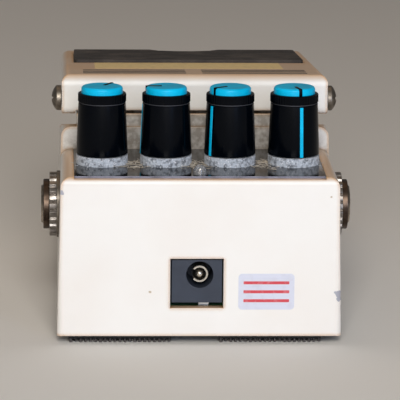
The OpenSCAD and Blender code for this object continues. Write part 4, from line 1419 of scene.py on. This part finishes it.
@dataclass
class FootAction:
    """What the treadle works on: switch, boot, return spring, thumbscrew and its guide."""

    wire: float = 0.5
    wire_sides: int = 12
    coil: float = 4.2
    turns: int = 6
    per_turn: int = 32
    press: float = 2.2
    boot_press: float = 2.0
    boot_steps: int = 48
    switch_edge: float = 0.3
    guide_edge: float = 0.2
    thumb_edge: float = 0.12
    thumb_least: float = 1.5

    def build(self) -> None:
        """Makes the pieces between treadle and housing."""
        place("coil_spring", self.spring(), ZINC, Body.BASE, "zinc_steel", ["return_spring"], sharp=70)
        place("rubber_boot", self.boot(), RUBBER, Body.BASE, "rubber", ["switch_boot"])
        stand_in("foot_switch", "switch_case", CHIP_BLACK, Body.BASE, "chip_plastic", self.switch_edge)
        stand_in("guide_bush", "guide_sleeve", NYLON, Body.BASE, "nylon", self.guide_edge)
        edge, least = self.thumb_edge, self.thumb_least
        stand_in("thumbscrew", "thumb_head", DARK, Body.THUMBSCREW, "dark_nut", edge, least)
        dress_node("retaining_ring", ZINC)

    def spring(self) -> bmesh.types.BMesh:
        """Winds the spring's wire, a little shorter than free so that the pressed treadle clears it."""
        low, high = box_mm("return_spring")
        rise = high.z - low.z - self.press - 2 * self.wire
        steps = self.per_turn * self.turns
        mesh = bmesh.new()
        bmesh.ops.create_circle(mesh, cap_ends=True, radius=self.wire * MM, segments=self.wire_sides)
        upright = Matrix.Rotation(math.radians(90), 4, "X")
        start = Matrix.Translation(Vector((self.coil, 0, low.z + self.wire)) * MM)
        bmesh.ops.transform(mesh, matrix=start @ upright, verts=mesh.verts)
        bmesh.ops.spin(
            mesh,
            geom=mesh.faces[:],
            cent=(0, 0, 0),
            axis=(0, 0, 1),
            dvec=(0, 0, rise / steps * MM),
            angle=2 * math.pi * self.turns,
            steps=steps,
            use_duplicate=False,
        )
        bmesh.ops.recalc_face_normals(mesh, faces=mesh.faces)
        middle = (low + high) / 2
        return turned(mesh, Matrix.Translation(Vector((middle.x, middle.y, 0)) * MM))

    def boot(self) -> bmesh.types.BMesh:
        """Makes the switch's rubber boot with its bellows fold."""
        low, high = box_mm("switch_boot")
        r = (high.x - low.x) / 2
        top = high.z - self.boot_press
        profile = [(0, low.z), (r, low.z), (r, low.z + 1.0), (r - 0.9, low.z + 1.2), (r - 1.2, low.z + 1.7)]
        profile += [(r - 0.8, low.z + 2.2), (r - 1.0, top - 0.8), (r - 1.5, top - 0.2)]
        profile += [(r - 2.2, top), (0, top)]
        mesh = spun(profile, self.boot_steps)
        middle = (low + high) / 2
        return turned(mesh, Matrix.Translation(Vector((middle.x, middle.y, 0)) * MM))


@dataclass(frozen=True)
class Lamp:
    """A soft lamp: where it hangs and its width and height in millimetres, its power in watts, its tint."""

    name: str
    spot: tuple[float, float, float]
    size: Point
    power: float
    tint: str

    def hang(self, aim: Vector) -> None:
        """Hangs the lamp so that it looks at a point, given in millimetres."""
        data = bpy.data.lights.new(self.name, "AREA")
        data.energy = self.power
        data.color = linear(self.tint)[:3]
        data.shape = "RECTANGLE"
        data.size, data.size_y = self.size[0] * MM, self.size[1] * MM
        lamp = bpy.data.objects.new(self.name, data)
        turn = (aim - Vector(self.spot)).to_track_quat("-Z", "Y").to_matrix().to_4x4()
        lamp.matrix_world = Matrix.Translation(Vector(self.spot) * MM) @ turn
        bpy.context.scene.collection.objects.link(lamp)


@dataclass(frozen=True)
class Studio:
    """The pale floor, the soft lamps and the camera. The floor is metres wide, other lengths millimetres."""

    eye: tuple[float, float, float] = (32.5, 844.5, 200.3)
    aim: tuple[float, float, float] = (0.12, 64.5, 34.5)
    lens: float = 309.3
    roll: float = 0.54
    floor: float = 8.0
    sky: float = 0.14
    lamps: tuple[Lamp, ...] = (
        Lamp("key", (10, 860, 500), (300, 300), 4.5, "FFFBF4"),
        Lamp("fill", (20, 1010, 240), (360, 360), 2.2, "FAFBFF"),
        Lamp("window", (-430, 960, 190), (200, 420), 1.6, "A9C8FF"),
        Lamp("top", (150, -200, 900), (700, 700), 1.0, "FFDCB4"),
    )

    def build(self) -> None:
        """Sets up the view."""
        self.camera()
        self.paper()
        self.world()
        for lamp in self.lamps:
            lamp.hang(Vector(self.aim))

    def camera(self) -> None:
        """Places the camera at the photograph's angle."""
        data = bpy.data.cameras.new("camera")
        data.lens = self.lens
        data.clip_start = 0.01
        camera = bpy.data.objects.new("camera", data)
        way = Vector(self.aim) - Vector(self.eye)
        turn = way.to_track_quat("-Z", "Y").to_matrix().to_4x4()
        roll = Matrix.Rotation(math.radians(self.roll), 4, "Z")
        camera.matrix_world = Matrix.Translation(Vector(self.eye) * MM) @ turn @ roll
        bpy.context.scene.collection.objects.link(camera)
        bpy.context.scene.camera = camera

    def paper(self) -> None:
        """Lays the floor."""
        mesh = bmesh.new()
        bmesh.ops.create_grid(mesh, x_segments=4, y_segments=4, size=self.floor / 2)
        data = bpy.data.meshes.new("floor")
        mesh.to_mesh(data)
        mesh.free()
        data.materials.append(FLOOR.material())
        floor = bpy.data.objects.new("floor", data)
        bpy.context.scene.collection.objects.link(floor)

    def world(self) -> None:
        """Fills the room with soft light."""
        world = bpy.data.worlds.new("room")
        world.use_nodes = True
        back = world.node_tree.nodes["Background"]
        back.inputs["Color"].default_value = linear("FFFFFF")
        back.inputs["Strength"].default_value = self.sky
        bpy.context.scene.world = world


def main() -> None:
    """Builds the object and its setting."""
    logging.basicConfig(level=logging.INFO, format="%(name)s: %(message)s")
    bpy.context.scene.view_settings.view_transform = "Standard"
    Studio().build()
    assemblies: list[Any] = [Housing(), HookTape("right"), HookTape("left"), ControlPanel()]
    assemblies += [FeltRings(), Fluff()]
    assemblies += [ControlKnob(name, turn) for name, turn in KNOBS.items()]
    assemblies += [PowerInlet(), Label(), Jack("input_jack", Side.RIGHT), Jack("output_jack", Side.LEFT)]
    assemblies += [Treadle(), FootAction()]
    for assembly in assemblies:
        assembly.build()


if __name__ == "__main__":
    main()
